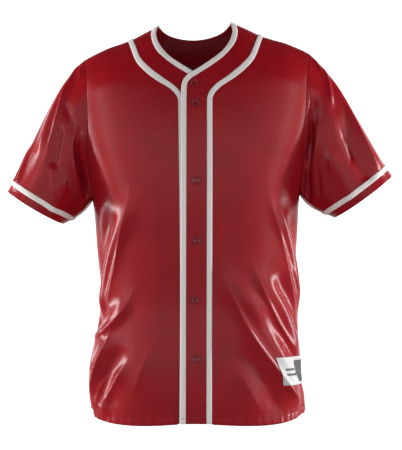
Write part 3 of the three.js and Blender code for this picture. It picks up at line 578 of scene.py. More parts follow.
def colour(code):
    """An sRGB hex colour turned to linear"""
    parts = [int(code[i:i + 2], 16) / 255 for i in (1, 3, 5)]
    return [c / 12.92 if c <= 0.04045 else ((c + 0.055) / 1.055) ** 2.4 for c in parts] + [1.0]


def set_inputs(tree, node, inputs):
    """Sets a node's inputs, each to a value or to another node's output"""
    for name, value in inputs.items():
        if isinstance(value, bpy.types.NodeSocket):
            tree.links.new(value, node.inputs[name])
        else:
            node.inputs[name].default_value = value


def add_node(tree, kind, inputs=None, **settings):
    """Adds a node with its settings and inputs"""
    node = tree.nodes.new(kind)
    for name, value in settings.items():
        setattr(node, name, value)
    set_inputs(tree, node, inputs or {})
    return node


def clouded(tree, place, cloud, dark, light):
    """A colour that varies between two in soft clouds"""
    clouds = add_node(tree, "ShaderNodeTexNoise", {"Vector": place, **cloud}).outputs["Fac"]
    mixed = {"Factor": clouds, "A": colour(dark), "B": colour(light)}
    return add_node(tree, "ShaderNodeMix", mixed, data_type="RGBA").outputs[2], clouds


def new_material(name):
    """A new material with its tree of nodes and its shader"""
    made = bpy.data.materials.new(name)
    made.use_nodes = True
    return made, made.node_tree, made.node_tree.nodes["Principled BSDF"]


# Polyester interlock knit, piece-dyed cardinal red and pressed smooth: the fine bright
# filament gives it a satin shine along folds. Its wales are 0.7 mm apart, too fine to show
# at this size, so they are drawn at three times that.
KNIT_RED = "#9A111D"
KNIT_DEEP_RED = "#8C0D19"
KNIT_BLOOM = "#E07078"
WALE = 2.1
COURSE = 1.7
DYE_CLOUD = {"Scale": 0.02, "Detail": 3.0, "Roughness": 0.55}
YARN_CLOUD = {"Scale": 0.35, "Detail": 2.0, "Roughness": 0.6}
DYE_RANGE = {"From Min": 0.15, "From Max": 0.38}
SHINE_RANGE = {"From Min": 0.3, "From Max": 0.7, "To Min": 0.24, "To Max": 0.3}
KNIT_RELIEF = {"Strength": 0.08, "Distance": 0.2 * MM}
KNIT_SHINE = {"IOR": 1.53, "Specular IOR Level": 0.2, "Sheen Weight": 0.04, "Sheen Roughness": 0.35}
knit, tree, shader = new_material("polyester_interlock_knit")
flat_map = add_node(tree, "ShaderNodeUVMap", uv_map="flat").outputs["UV"]
split = add_node(tree, "ShaderNodeSeparateXYZ", {"Vector": flat_map})
waves = []
for axis, spacing in (("X", WALE), ("Y", COURSE)):
    turns = {0: split.outputs[axis], 1: 2 * math.pi / spacing}
    phase = add_node(tree, "ShaderNodeMath", turns, operation="MULTIPLY")
    waves.append(add_node(tree, "ShaderNodeMath", {0: phase.outputs[0]}, operation="SINE").outputs[0])
loops = add_node(tree, "ShaderNodeMath", {0: waves[0], 1: waves[1], 2: waves[0]}, operation="MULTIPLY_ADD")
dye, yarn = (
    add_node(tree, "ShaderNodeTexNoise", {"Vector": flat_map, **cloud}).outputs["Fac"]
    for cloud in (DYE_CLOUD, YARN_CLOUD)
)
shade = add_node(tree, "ShaderNodeMath", {0: dye, 1: yarn}, operation="MULTIPLY").outputs[0]
tone = add_node(tree, "ShaderNodeMapRange", {"Value": shade, **DYE_RANGE}).outputs["Result"]
reds = {"Factor": tone, "A": colour(KNIT_DEEP_RED), "B": colour(KNIT_RED)}
uneven = add_node(tree, "ShaderNodeMapRange", {"Value": yarn, **SHINE_RANGE})
bump = add_node(tree, "ShaderNodeBump", {"Height": loops.outputs[0], **KNIT_RELIEF})
set_inputs(tree, shader, {
    "Base Color": add_node(tree, "ShaderNodeMix", reds, data_type="RGBA").outputs[2],
    "Roughness": uneven.outputs["Result"],
    "Normal": bump.outputs["Normal"],
    "Sheen Tint": colour(KNIT_BLOOM),
    **KNIT_SHINE,
})


def body_cloth(node, face, places, lift=0.0):
    """A piece of the body's knit at a grid of places, in the place of its solid"""
    point, normal, flat = body_surface(face, *places, lift)
    point = clear_of_middle(point, face)
    piece = shell(f"{node}_cloth", point, normal, flat, CLOTH)
    return stand_in(piece, node, knit), point, normal


fronts = {}
for side_name, side in (("left", 1), ("right", -1)):
    edge, seam, outside = front_lines(side)
    lines = band_lines(-1, seam, edge)
    angle, reach = between(outside, lines["braid_outside"], np.linspace(0, 1, COLUMNS_FRONT))
    share = np.arange(ROWS_BELOW_ARMPIT)[:, None] / ROWS_BELOW_ARMPIT
    inner = angle[:ROWS_BELOW_ARMPIT, :-1]
    reach[:ROWS_BELOW_ARMPIT, :-1] = place_at_height(inner, row_height(inner, share))[1]
    level = place_at_height(angle[ROWS_BELOW_ARMPIT], ARMPIT)[1] - reach[ROWS_BELOW_ARMPIT]
    up = np.linspace(0, 1, ROWS_ARMHOLE + 1)[:, None]
    reach[ROWS_BELOW_ARMPIT:] += level * smooth(1, 0, up)
    last = lines["panel_start"]
    places = [np.concatenate([grid, line[:, None]], axis=1) for grid, line in zip((angle, reach), last)]
    lift = lap_lift(side, smooth_body(-1, *places)[..., 0])
    front, point, normal = body_cloth(f"front_{side_name}", -1, places, lift)
    fronts[side_name] = {"piece": front, "lines": lines, "point": point, "normal": normal, "side": side}

# The front bands. Each is a second strip of the same knit, faced so that it stands a little
# stiffer, seamed to its front and carried up round the neck. The left one laps over the right
# one and holds the buttons.
bands = {}
for side_name, front in fronts.items():
    lines = front["lines"]
    band = between(lines["band_start"], lines["edge"], np.linspace(0, 1, COLUMNS_BAND))
    lift = lap_lift(front["side"], smooth_body(-1, *band)[..., 0])
    bands[side_name] = {"piece": body_cloth(f"placket_{side_name}", -1, band, lift)[0], "sewing": []}

# The back. One piece of the same knit from side seam to side seam and up to the shoulders,
# cut out round the neck for its band, with soft folds that fall from the shoulder blades.
COLUMNS_SHOULDER = 42
COLUMNS_NECK = 86
ARMHOLE_PULL = 0.55
NECK_EDGE_BACK = table("out z", (0, -21), (30, -17.5), (53, -9), (67, 3))
BRAID_LINE_BACK = table("out z", (0, -68), (45, -62), (85, -47), (121, -22))


def across_back(rows, offset):
    """Places across the back from the wearer's right to the left, on a mirrored line"""
    half = paired(rows["out"], rows["z"])
    mirrored = half[:0:-1] * [-1, 1]
    curved = drawn_curve(np.vstack([mirrored, half]), np.linspace(0, 1, COLUMNS_NECK + 1))
    angle, reach = place_of(curved[:, 0] + offset, curved[:, 1])
    reach[[0, -1]] = 0
    return angle, reach


edge = across_back(NECK_EDGE_BACK, placket_middle(0))
seam = across_back(BRAID_LINE_BACK, placket_middle(0) + LAP_SHIFT / 2)
back_lines = band_lines(1, seam, edge)
armholes = {"left": armhole_line(1), "right": armhole_line(-1)}
right_top = np.linspace(armholes["right"][0][-1], seam[0][0], COLUMNS_SHOULDER + 1)[:-1]
left_top = np.linspace(seam[0][-1], armholes["left"][0][-1], COLUMNS_SHOULDER + 1)[1:]
top_angle = np.concatenate([right_top, seam[0], left_top])
top_reach = np.concatenate([np.zeros(COLUMNS_SHOULDER), seam[1], np.zeros(COLUMNS_SHOULDER)])
even = np.linspace(-QUARTER, QUARTER, len(top_angle))
share = np.arange(ROWS_BELOW_ARMPIT)[:, None] / ROWS_BELOW_ARMPIT
below = place_at_height(even[None, :] + 0 * share, row_height(even[None, :], share))
chest = place_at_height(even, np.full(len(even), float(ARMPIT)))
share = np.linspace(0, 1, ROWS_ARMHOLE + 1)[:, None]
across = np.arange(len(even)) / (len(even) - 1)
above = []
for column, (low, high) in enumerate(zip(chest, (top_angle, top_reach))):
    straight = low + (high - low) * share
    left_pull = smooth(1 - ARMHOLE_PULL, 1, across) * (armholes["left"][column][:, None] - straight[:, -1:])
    right_pull = smooth(ARMHOLE_PULL, 0, across) * (armholes["right"][column][:, None] - straight[:, :1])
    above.append(straight + left_pull + right_pull)
above[1] = np.maximum(above[1], 0)
neck = slice(COLUMNS_SHOULDER, COLUMNS_SHOULDER + COLUMNS_NECK + 1)
for column in (0, 1):
    above[column][-1, neck] = back_lines["panel_start"][column]
    above[column][-2, neck] = back_lines["braid_outside"][column]
places = [np.concatenate(pair) for pair in zip(below, above)]
back, back_point, back_normal = body_cloth("back", 1, places)

# The band round the back of the neck, of the same faced knit, between the two rows of braid.
band = between(back_lines["band_start"], back_lines["edge"], np.linspace(0, 1, COLUMNS_BAND))
neck_back = body_cloth("neck_back", 1, band)[0]

# The braid. A flat off-white tape, woven of matt polyester yarn and stitched down along both
# edges: one row over the seam of each band, and one along the neck edge and the opening.
BRAID_WHITE = "#F2ECEA"
BRAID_SHADE = "#DAD3D2"
BRAID_RIB = 1.6
BRAID_YARN = {"Scale": 0.5, "Detail": 2.0, "Roughness": 0.6}
BRAID_RELIEF = {"Strength": 0.25, "Distance": 0.3 * MM}
BRAID_SHINE = {"Roughness": 0.72, "Sheen Weight": 0.3, "Sheen Roughness": 0.5}
BRAID_CROWN = 0.35
BRAID_COLUMNS = 7
# Textured polyester yarn, woven flat: matt and slightly hairy, with fine ribs across, so that
# it stays an even off-white beside the shine of the knit.
braid, tree, shader = new_material("woven_flat_braid")
flat_map = add_node(tree, "ShaderNodeUVMap", uv_map="flat").outputs["UV"]
split = add_node(tree, "ShaderNodeSeparateXYZ", {"Vector": flat_map})
turns = {0: split.outputs["Y"], 1: 2 * math.pi / BRAID_RIB}
phase = add_node(tree, "ShaderNodeMath", turns, operation="MULTIPLY")
rib = add_node(tree, "ShaderNodeMath", {0: phase.outputs[0]}, operation="SINE")
white, _ = clouded(tree, flat_map, BRAID_YARN, BRAID_SHADE, BRAID_WHITE)
bump = add_node(tree, "ShaderNodeBump", {"Height": rib.outputs[0], **BRAID_RELIEF})
set_inputs(tree, shader, {"Base Color": white, "Normal": bump.outputs["Normal"], **BRAID_SHINE})
crown = BRAID_CROWN * (np.sin(np.linspace(0, math.pi, BRAID_COLUMNS)) ** 0.5 - 1)
braid_top = SEAM_GAP + BRAID_THICKNESS + crown


def along(point):
    """Lengths along and across a strip of points, in millimetres"""
    middle = point[:, point.shape[1] // 2]
    run = np.concatenate([[0], np.cumsum(np.linalg.norm(np.diff(middle, axis=0), axis=-1))])
    wide = np.linspace(0, BRAID_WIDTH, point.shape[1])
    return paired(wide[None, :], run[:, None])


def braid_strip(name, node, face, start, end, side=0):
    """A strip of braid between two lines on the body, slightly crowned across"""
    places = between(start, end, np.linspace(0, 1, BRAID_COLUMNS))
    lift = lap_lift(side, smooth_body(face, *places)[..., 0]) if side else 0.0
    point, normal, _ = body_surface(face, *places, lift)
    point = clear_of_middle(point, face)
    lifted = point + normal * braid_top[None, :, None]
    strip = shell(name, lifted, normal, along(point), BRAID_THICKNESS - BRAID_CROWN)
    return stand_in(strip, node, braid)


def two_braids(where, face, lines, side=0):
    """The braid over a band's seam and the braid on its edge"""
    strips = {"outer": ("braid_outside", "braid_inside"), "edge": ("edge_braid_inside", "edge")}
    return [
        braid_strip(f"{kind}_braid_{where}_tape", f"{kind}_braid_{where}", face,
                    lines[start], lines[end], side)
        for kind, (start, end) in strips.items()
    ]


trims = {name: two_braids(name, -1, front["lines"], front["side"]) for name, front in fronts.items()}
trims["back"] = two_braids("back", 1, back_lines)

# The sleeves. Each is one piece of knit, seamed into a tube under the arm and set into its
# armhole. Deep folds run down from the shoulder and across the underarm, where the cloth that
# an arm would lift has room to drop.
ROWS_SLEEVE = 78
SLEEVES = {
    "left": {
        "side": 1, "cuff": (308, -4, -317), "inner": (-0.808, 0, -0.589),
        "half_width": 67, "half_depth": 64,
        "leave_top": (0.8, 0, -0.6), "leave_under": (0.42, 0, -0.91),
        "meet_top": (0.62, 0, -0.78), "meet_under": (0.85, 0, -0.53),
    },
    "right": {
        "side": -1, "cuff": (-299.5, -4, -337), "inner": (0.8615, 0, -0.508),
        "half_width": 61, "half_depth": 62,
        "leave_top": (-0.84, 0, -0.54), "leave_under": (-0.42, 0, -0.91),
        "meet_top": (-0.62, 0, -0.78), "meet_under": (-0.86, 0, -0.5),
    },
}
START_PULL = (0.75, 1.3)
END_PULL = 0.55
CUFF_TIP = 4
CUFF_BRAID_RISE = 19.5
SLEEVE_RADIUS = 75
SLEEVE_LENGTH = 200
SETTLED_BELOW = 0.12
SETTLED_UNDER = (0.75, 0.97)
RELIEF_FROM = 0.08
SLEEVE_FOLDS = {
    "left": table(
        FOLD_COLUMNS,
        (62, 0.2, 140, 0.1, 6, 13, 13, -9),
        (140, 0.1, 172, 0.3, 0, 12, 12, -6),
        (25, 0.12, 36, 0.92, 4, 17, 17, 6),
        (58, 0.38, 66, 0.9, 5, 13, 13, -5),
        (98, 0.3, 108, 0.95, -4, 16, 16, 5),
        (232, 0.12, 205, 0.6, 4, 15, 15, -7),
        (300, 0.2, 290, 0.85, -4, 18, 18, 6),
    ),
    "right": table(
        FOLD_COLUMNS,
        (84, 0.22, 168, 0.14, 5, 13, 13, -9),
        (34, 0.1, 52, 0.62, -5, 15, 15, 7),
        (62, 0.34, 84, 0.56, 0, 12, 12, -5),
        (108, 0.4, 112, 0.95, 3, 17, 17, 5),
        (14, 0.6, 24, 0.96, 0, 14, 14, 4),
        (236, 0.12, 206, 0.62, -4, 15, 15, -7),
        (298, 0.25, 286, 0.85, 4, 18, 18, 6),
    ),
}

SLEEVE_CREASES = {
    "left": table(
        CREASE_COLUMNS,
        (12, -0.02, 27, 0.08, 36, 0.19, 5.25, 9, 3.4),
        (10, 0.1, 38, 0.22, 60, 0.33, 9, 4.5, 4.8),
        (34, 0.3, 53, 0.51, 82, 0.66, 6.75, 5.25, -3.9),
        (26, 0.3, 38, 0.56, 46, 0.92, 12, 6.75, 5.1),
        (64, 0.02, 92, 0.1, 132, 0.04, 6, 9, -8.0),
        (128, 0.03, 150, 0.07, 176, 0.12, 6, 7.5, -6.9),
        (84, 0.14, 104, 0.17, 138, 0.12, 5.25, 9, 4.1),
        (98, 0.2, 126, 0.31, 150, 0.5, 9, 10.5, -3.0),
        (68, 0.26, 94, 0.38, 112, 0.56, 10.5, 9, 2.5),
        (320, 0.08, 312, 0.3, 318, 0.62, 9, 6, 3.7),
        (262, 0.05, 246, 0.16, 214, 0.1, 7.5, 6, -5.2),
        (280, 0.3, 268, 0.55, 272, 0.9, 10.5, 9, 3.4),
    ),
    "right": table(
        CREASE_COLUMNS,
        (4, 0.06, 24, 0.12, 38, 0.17, 4.5, 6, 3.0),
        (26, 0.1, 45, 0.27, 66, 0.6, 9, 4.5, 5.3),
        (18, 0.02, 35, 0.05, 50, 0.06, 4.5, 4.5, 2.1),
        (44, 0.27, 70, 0.24, 92, 0.2, 6.75, 9, -5.1),
        (80, 0.22, 112, 0.18, 166, 0.14, 6.75, 9, -8.0),
        (84, 0.08, 116, 0.06, 150, 0.05, 7.5, 7.5, 3.9),
        (146, 0.0, 160, 0.04, 174, 0.1, 6.75, 6.75, -6.9),
        (20, 0.56, 27, 0.73, 38, 0.95, 9, 7.5, 3.7),
        (62, 0.45, 87, 0.59, 114, 0.7, 12, 9, 2.3),
        (318, 0.1, 314, 0.32, 322, 0.66, 6, 9, 3.7),
        (264, 0.05, 248, 0.17, 212, 0.12, 6, 7.5, -5.2),
        (284, 0.34, 272, 0.6, 276, 0.92, 9, 10.5, 3.4),
    ),
}


def sleeve_surface(side_name):
    """Rows of points round a sleeve from its armhole to its cuff, and what faces outwards"""
    sizes = SLEEVES[side_name]
    side = sizes["side"]
    front = fronts[side_name]
    front_point, front_normal = (front[key][ROWS_BELOW_ARMPIT:, 0][::-1] for key in ("point", "normal"))
    column = -1 if side > 0 else 0
    edge_point, edge_normal = (grid[ROWS_BELOW_ARMPIT:, column][1:-1] for grid in (back_point, back_normal))
    ring = np.concatenate([front_point, edge_point])
    facing_out = np.concatenate([front_normal, edge_normal])
    run = np.roll(ring, -1, axis=0) - np.roll(ring, 1, axis=0)
    start = ring - side * SEAM_GAP * unit(np.cross(run, facing_out))
    armpit = len(front_point) - 1
    start[[0, armpit], 1] = 0
    count = len(ring)
    turn = np.concatenate([
        np.arange(armpit + 1) / armpit * math.pi,
        math.pi + np.arange(1, count - armpit) / (count - armpit) * math.pi,
    ])
    under = ((1 - np.cos(turn)) / 2)[:, None]
    cuff = np.array(sizes["cuff"], float)
    end = cuff - np.cos(turn)[:, None] * sizes["half_width"] * np.array(sizes["inner"])
    end[:, 1] -= np.sin(turn) * sizes["half_depth"]
    end[:, 2] -= np.sin(turn) * CUFF_TIP
    leave, meet = (
        unit(np.array(sizes[f"{word}_top"]) * (1 - under) + np.array(sizes[f"{word}_under"]) * under)
        for word in ("leave", "meet")
    )
    length = np.linalg.norm(end - start, axis=-1)[:, None]
    pull = length * (START_PULL[0] + (START_PULL[1] - START_PULL[0]) * under**2)
    t = np.linspace(0, 1, ROWS_SLEEVE + 1)[:, None, None]
    rise = t * t * (3 - 2 * t)
    point = start + (end - start) * rise + pull * leave * t * (1 - t) ** 2
    point = point + length * END_PULL * meet * t * t * (t - 1)
    around = np.roll(point, -1, axis=1) - np.roll(point, 1, axis=1)
    down = np.gradient(point, axis=0)
    facing = unit(np.cross(around, down))
    middle = ring.mean(axis=0)
    axis = middle + (cuff - middle) * t
    facing *= np.where(((point - axis) * facing).sum(-1) < 0, -1, 1)[..., None]
    settled = np.maximum(smooth(0, SETTLED_BELOW, t), smooth(*SETTLED_UNDER, under)[None])
    normal = unit(facing_out + (facing - facing_out) * settled)
    folds = by_turn(SLEEVE_FOLDS[side_name], SLEEVE_RADIUS)
    folds[1], folds[3] = folds[1] * SLEEVE_LENGTH, folds[3] * SLEEVE_LENGTH
    laid = paired(turn * SLEEVE_RADIUS, t[..., 0] * SLEEVE_LENGTH)
    flat_places = laid[..., 0], laid[..., 1], 2 * math.pi * SLEEVE_RADIUS
    rows = SLEEVE_CREASES[side_name]
    creases = []
    for end in ("0", "m", "1"):
        creases += [np.radians(rows["turn" + end]) * SLEEVE_RADIUS, rows["z" + end] * SLEEVE_LENGTH]
    creases += [rows[key] for key in ("right", "left", "height")]
    relief = fold_height(folds, *flat_places) + crease_height(creases, *flat_places)
    point = point + normal * (relief * smooth(0, RELIEF_FROM, t[..., 0]))[..., None]
    closing = laid[:, :1] + [2 * math.pi * SLEEVE_RADIUS, 0]
    return point, normal, np.concatenate([laid, closing], axis=1)


for side_name in SLEEVES:
    point, normal, flat = sleeve_surface(side_name)
    sleeve = shell(f"sleeve_{side_name}_cloth", point, normal, flat, CLOTH, ring=True)
    stand_in(sleeve, f"sleeve_{side_name}", knit)
    rise = CUFF_BRAID_RISE + np.linspace(0.5, -0.5, BRAID_COLUMNS)[:, None] * BRAID_WIDTH
    steps = np.linalg.norm(np.diff(point[::-1], axis=0), axis=-1)
    up = np.concatenate([np.zeros((1, point.shape[1])), np.cumsum(steps, axis=0)])
    rows = np.arange(ROWS_SLEEVE + 1)
    at = ROWS_SLEEVE - np.stack([np.interp(rise[:, 0], column, rows) for column in up.T], axis=1)
    low = np.minimum(at.astype(int), ROWS_SLEEVE - 1)
    mix = (at - low)[..., None]
    place = np.arange(point.shape[1])
    strip = point[low, place] * (1 - mix) + point[low + 1, place] * mix
    out = unit(normal[low, place] * (1 - mix) + normal[low + 1, place] * mix)
    lifted = strip + out * braid_top[:, None, None]
    run = np.linspace(0, 2 * math.pi * SLEEVE_RADIUS, point.shape[1] + 1)
    laid = paired(rise, run[None, :])
    name = f"cuff_braid_{side_name}"
    cuff = shell(f"{name}_tape", lifted, out, laid, BRAID_THICKNESS - BRAID_CROWN, ring=True)
    {"piece": sleeve, "trim": [stand_in(cuff, name, braid)]}

# The sewing. The hem has two rows of lockstitch in red thread, each armhole is topstitched,
# and the opening ends in a short dark bar of close stitches at the hem. The stitches are
# short lengths of thread, 2.6 mm long, each pulled down at its ends.
STITCH = {"length": 2.6, "gap": 0.9, "width": 0.55, "height": 0.35, "above": 0.15}
HEM_POINTS = 260
HEM_CLEAR = 0.01
THREAD_RED = "#8A1824"
THREAD_DARK = "#3A1418"
THREAD_TWIST = {"Scale": 900.0}
THREAD_RELIEF = {"Strength": 0.2, "Distance": 0.2 * MM}
THREAD_ROUGHNESS = 0.45
BAR_TACK = {"x": -25.2, "width": 4.6, "low": 8.6, "high": 11.6, "rows": 6, "points": 5, "above": 1.8}
# Spun polyester thread: dull beside the knit, with a fine twist, so that rows of it read as
# slightly darker broken lines. The bar's thread is a near-black red.
threads = []
for name, dyed in (("sewing", THREAD_RED), ("bar_tack", THREAD_DARK)):
    thread, tree, shader = new_material(f"polyester_{name}_thread")
    twist = add_node(tree, "ShaderNodeTexCoord").outputs["Object"]
    ply = add_node(tree, "ShaderNodeTexNoise", {"Vector": twist, **THREAD_TWIST})
    strand = add_node(tree, "ShaderNodeBump", {"Height": ply.outputs["Fac"], **THREAD_RELIEF})
    set_inputs(tree, shader, {
        "Base Color": colour(dyed), "Roughness": THREAD_ROUGHNESS, "Normal": strand.outputs["Normal"],
    })
    threads.append(thread)
thread_red, thread_dark = threads


def stitches(name, rows, material):
    """Short flattened lengths of thread along rows of points that lie on the cloth. Each
    is eight triangles: two ends, a middle widened to its sides, and a top and an underside."""
    vertices, faces = [], []
    for point, normal in rows:
        run = np.concatenate([[0], np.cumsum(np.linalg.norm(np.diff(point, axis=0), axis=-1))])
        starts = np.arange(0, run[-1] - STITCH["length"], STITCH["length"] + STITCH["gap"])
        for start in starts:
            at = [start, start + STITCH["length"] / 2, start + STITCH["length"]]
            ends = np.stack([np.interp(at, run, point[:, k]) for k in range(3)], axis=-1)
            up = unit(np.array([np.interp(at[1], run, normal[:, k]) for k in range(3)]))
            side_way = unit(np.cross(ends[2] - ends[0], up)) * STITCH["width"] / 2
            first = len(vertices)
            vertices += [ends[0], ends[2], ends[1] + side_way, ends[1] - side_way]
            vertices += [ends[1] + up * STITCH["height"], ends[1] - up * STITCH["height"] / 2]
            for a, b in ((2, 4), (4, 3), (3, 5), (5, 2)):
                faces += [(first, first + a, first + b), (first + 1, first + b, first + a)]
    mesh = bpy.data.meshes.new(name)
    mesh.from_pydata((np.array(vertices) * MM).tolist(), [], faces)
    mesh.materials.append(material)
    made = placed(name, mesh)
    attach(made, "root")
    return made


def hem_line(face, start, end, above, lift_side=0):
    """Points and normals of a line that follows the hem between two angles"""
    angle = np.linspace(start, end, HEM_POINTS)
    angle, reach = place_at_height(angle, hem_at(np.degrees(np.abs(angle))) + above)
    lift = lap_lift(lift_side, smooth_body(face, angle, reach)[..., 0]) if lift_side else 0.0
    point, normal, _ = body_surface(face, angle, reach, lift)
    return point + normal * STITCH["above"], normal


for side_name, front in fronts.items():
    side = front["side"]
    stop = front["lines"]["braid_outside"][0][0]
    rows = [hem_line(-1, side * (QUARTER - HEM_CLEAR), stop, above, side) for above in HEM_ROWS]
    point, normal = (front[key][ROWS_BELOW_ARMPIT + 2:, 2] for key in ("point", "normal"))
    rows.append((point + normal * STITCH["above"], normal))
    front["sewing"] = [stitches(f"sewing_front_{side_name}", rows, thread_red)]
rows = [hem_line(1, HEM_CLEAR - QUARTER, QUARTER - HEM_CLEAR, above) for above in HEM_ROWS]
sewing_back = stitches("sewing_back", rows, thread_red)
rows = []
x = BAR_TACK["x"] + np.linspace(-0.5, 0.5, BAR_TACK["points"]) * BAR_TACK["width"]
for above in np.linspace(BAR_TACK["low"], BAR_TACK["high"], BAR_TACK["rows"]):
    point, normal, _ = body_surface(-1, *place_of(x, HEM["z"][0] + above), LAP_RISE)
    rows.append((point + normal * BAR_TACK["above"], normal))
bands["left"]["sewing"].append(stitches("bar_tack", rows, thread_dark))

# The buttons. Six four-hole shirt buttons, 15 mm across, moulded of polyester dyed to match
# the knit and polished, each with a rounded rim, a dished face and a cross of thread.
BUTTONS = table(
    "aside z", (0.5, -113.5), (2.4, -150), (4.4, -290), (6.0, -397), (2.5, -504), (4.4, -610)
)
BUTTON = {
    "radius": 7.5, "rim": 1.9, "thickness": 2.6, "dish": 0.95, "bead": 0.45,
    "middle": 0.25, "side": 0.9, "foot": 0.6, "lift": 0.6,
}
BUTTON_GRID = {"around": 48, "face": 20, "bead": 12}
BUTTON_HOLES = {"from_middle": 1.5, "depth": 0.9, "top": 0.81, "floor": 0.42}
BUTTON_CROSS = 0.25
BUTTONHOLE = {"aside": 0.8, "half_length": 9.6, "points": 9, "above": 0.2}
BUTTON_RED = "#84101B"
BUTTON_SHADE = "#700D17"
RESIN_CLOUD = {"Scale": 260.0, "Detail": 3.0}
RESIN_ROUGHNESS = {"To Min": 0.12, "To Max": 0.2}
RESIN_SHINE = {"IOR": 1.55, "Specular IOR Level": 0.36}
# Polyester resin dyed through and tumbled to a polish: a hard, clear glint on the rim, over a
# faint cloud of darker red.
gloss, tree, shader = new_material("polished_polyester_button")
place = add_node(tree, "ShaderNodeTexCoord").outputs["Object"]
red, resin = clouded(tree, place, RESIN_CLOUD, BUTTON_SHADE, BUTTON_RED)
worn = add_node(tree, "ShaderNodeMapRange", {"Value": resin, **RESIN_ROUGHNESS}).outputs["Result"]
set_inputs(tree, shader, {"Base Color": red, "Roughness": worn, **RESIN_SHINE})


def hole_centre(turn):
    return BUTTON_HOLES["from_middle"] * np.array([math.cos(turn), math.sin(turn), 0])


def button_mesh(name, centre, up):
    """A dished button with four holes, as a polar grid closed at its middle and below"""
    radius, rim, high, bead_high = (BUTTON[key] for key in ("radius", "rim", "thickness", "bead"))
    around = np.linspace(0, 2 * math.pi, BUTTON_GRID["around"] + 1)[:-1]
    face_radii = np.linspace(BUTTON["middle"], radius - rim, BUTTON_GRID["face"])
    dish = high - BUTTON["dish"] * smooth(radius - rim, radius - 2 * rim, face_radii)
    bead = np.linspace(0, math.pi, BUTTON_GRID["bead"])[1:]
    bead_radii = radius - rim / 2 - np.cos(bead) * rim / 2
    bead_heights = high - bead_high + np.sin(bead) * bead_high
    radii = np.concatenate([face_radii, bead_radii, [radius, radius - BUTTON["foot"], BUTTON["middle"]]])
    heights = np.concatenate([dish, bead_heights, [BUTTON["side"], 0, 0]])
    round_x, round_y = radii[:, None] * np.cos(around), radii[:, None] * np.sin(around)
    grid = np.stack([round_x, round_y, heights[:, None] + 0 * around], axis=-1)
    for quarter in range(4):
        hole = hole_centre(math.pi / 4 + quarter * QUARTER)
        away = np.linalg.norm((grid[:-2] - hole)[..., :2], axis=-1)
        grid[:-2, :, 2] -= BUTTON_HOLES["depth"] * smooth(BUTTON_HOLES["top"], BUTTON_HOLES["floor"], away)
    turned = np.array(Vector((0, 0, 1)).rotation_difference(Vector(up)).to_matrix())
    shape = grid @ turned.T + centre
    rings, count = shape.shape[:2]
    index = np.arange(rings * count).reshape(rings, count)
    after = np.roll(index, -1, axis=1)
    faces = np.stack([index[1:], after[1:], after[:-1], index[:-1]], axis=-1).reshape(-1, 4).tolist()
    faces += [index[0].tolist(), index[-1][::-1].tolist()]
    mesh = bpy.data.meshes.new(name)
    mesh.from_pydata((shape.reshape(-1, 3) * MM).tolist(), [], faces)
    mesh.polygons.foreach_set("use_smooth", np.ones(len(faces), dtype=bool))
    return placed(name, mesh), turned


for i, (aside, z) in enumerate(zip(*BUTTONS.values()), 1):
    point, normal, _ = body_surface(-1, *place_of(placket_middle(z) + aside, z), LAP_RISE)
    centre = point + normal * BUTTON["lift"]
    button, turned = button_mesh(f"button_{i}_moulded", centre, normal)
    stand_in(button, f"button_{i}", gloss)
    top = np.array([0, 0, BUTTON["thickness"] - BUTTON["dish"]])
    cross = []
    for turn in (math.pi / 4, 3 * math.pi / 4):
        bar = np.stack([top - hole_centre(turn), top + [0, 0, BUTTON_CROSS], top + hole_centre(turn)])
        cross.append((bar @ turned.T + centre, np.repeat(normal[None], 3, axis=0)))
    stitches(f"button_{i}_thread", cross, thread_red)
    down = z + np.linspace(-1, 1, BUTTONHOLE["points"]) * BUTTONHOLE["half_length"]
    worked = []
    for off in (-BUTTONHOLE["aside"], BUTTONHOLE["aside"]):
        point, normal, _ = body_surface(-1, *place_of(placket_middle(z) + aside + off, down), LAP_RISE)
        worked.append((point + normal * BUTTONHOLE["above"], normal))
    bands["left"]["sewing"].append(stitches(f"buttonhole_{i}", worked, thread_red))

# The patch. A pale woven label sewn flat on the left front just above the hem, with a plain
# dark panel along its outer end and two plain bars.
PATCH = {"turn_top": 43.5, "turn_low": 49.0, "turn_outer": 84.0, "low": -661, "high": -611}
PATCH_THICKNESS = 0.9
PATCH_CLEAR = 0.5
PATCH_GRID = (44, 110)
PATCH_PALE = "#CBC9C8"
PATCH_SHADE = "#BEBCBB"
PATCH_GREY = "#3A3A3C"
PATCH_CLOUD = {"Scale": 60.0}
PATCH_ROUGHNESS = 0.6
PATCH_BARS = table(
    "u0 u1 v0 v1",
    (0.62, 0.97, 0.08, 0.86),
    (0.12, 0.5, 0.34, 0.42),
    (0.12, 0.5, 0.52, 0.6),
)
# Damask-woven polyester label: matt and pale, with a faint unevenness of the weave, and the
# dark yarn woven in, so that its edges are crisp.
woven, tree, shader = new_material("woven_label")
label_map = add_node(tree, "ShaderNodeUVMap", uv_map="flat").outputs["UV"]
label_axes = add_node(tree, "ShaderNodeSeparateXYZ", {"Vector": label_map})
shown, _ = clouded(tree, label_map, PATCH_CLOUD, PATCH_SHADE, PATCH_PALE)
for u0, u1, v0, v1 in zip(*PATCH_BARS.values()):
    inside = 1.0
    for axis, low, high in (("X", u0, u1), ("Y", v0, v1)):
        span = {0: label_axes.outputs[axis], 1: (low + high) / 2, 2: (high - low) / 2}
        within = add_node(tree, "ShaderNodeMath", span, operation="COMPARE").outputs[0]
        both = {0: within, 1: inside}
        inside = add_node(tree, "ShaderNodeMath", both, operation="MULTIPLY").outputs[0]
    inks = {0: inside, 6: shown, 7: colour(PATCH_GREY)}
    shown = add_node(tree, "ShaderNodeMix", inks, data_type="RGBA").outputs[2]
set_inputs(tree, shader, {"Base Color": shown, "Roughness": PATCH_ROUGHNESS})

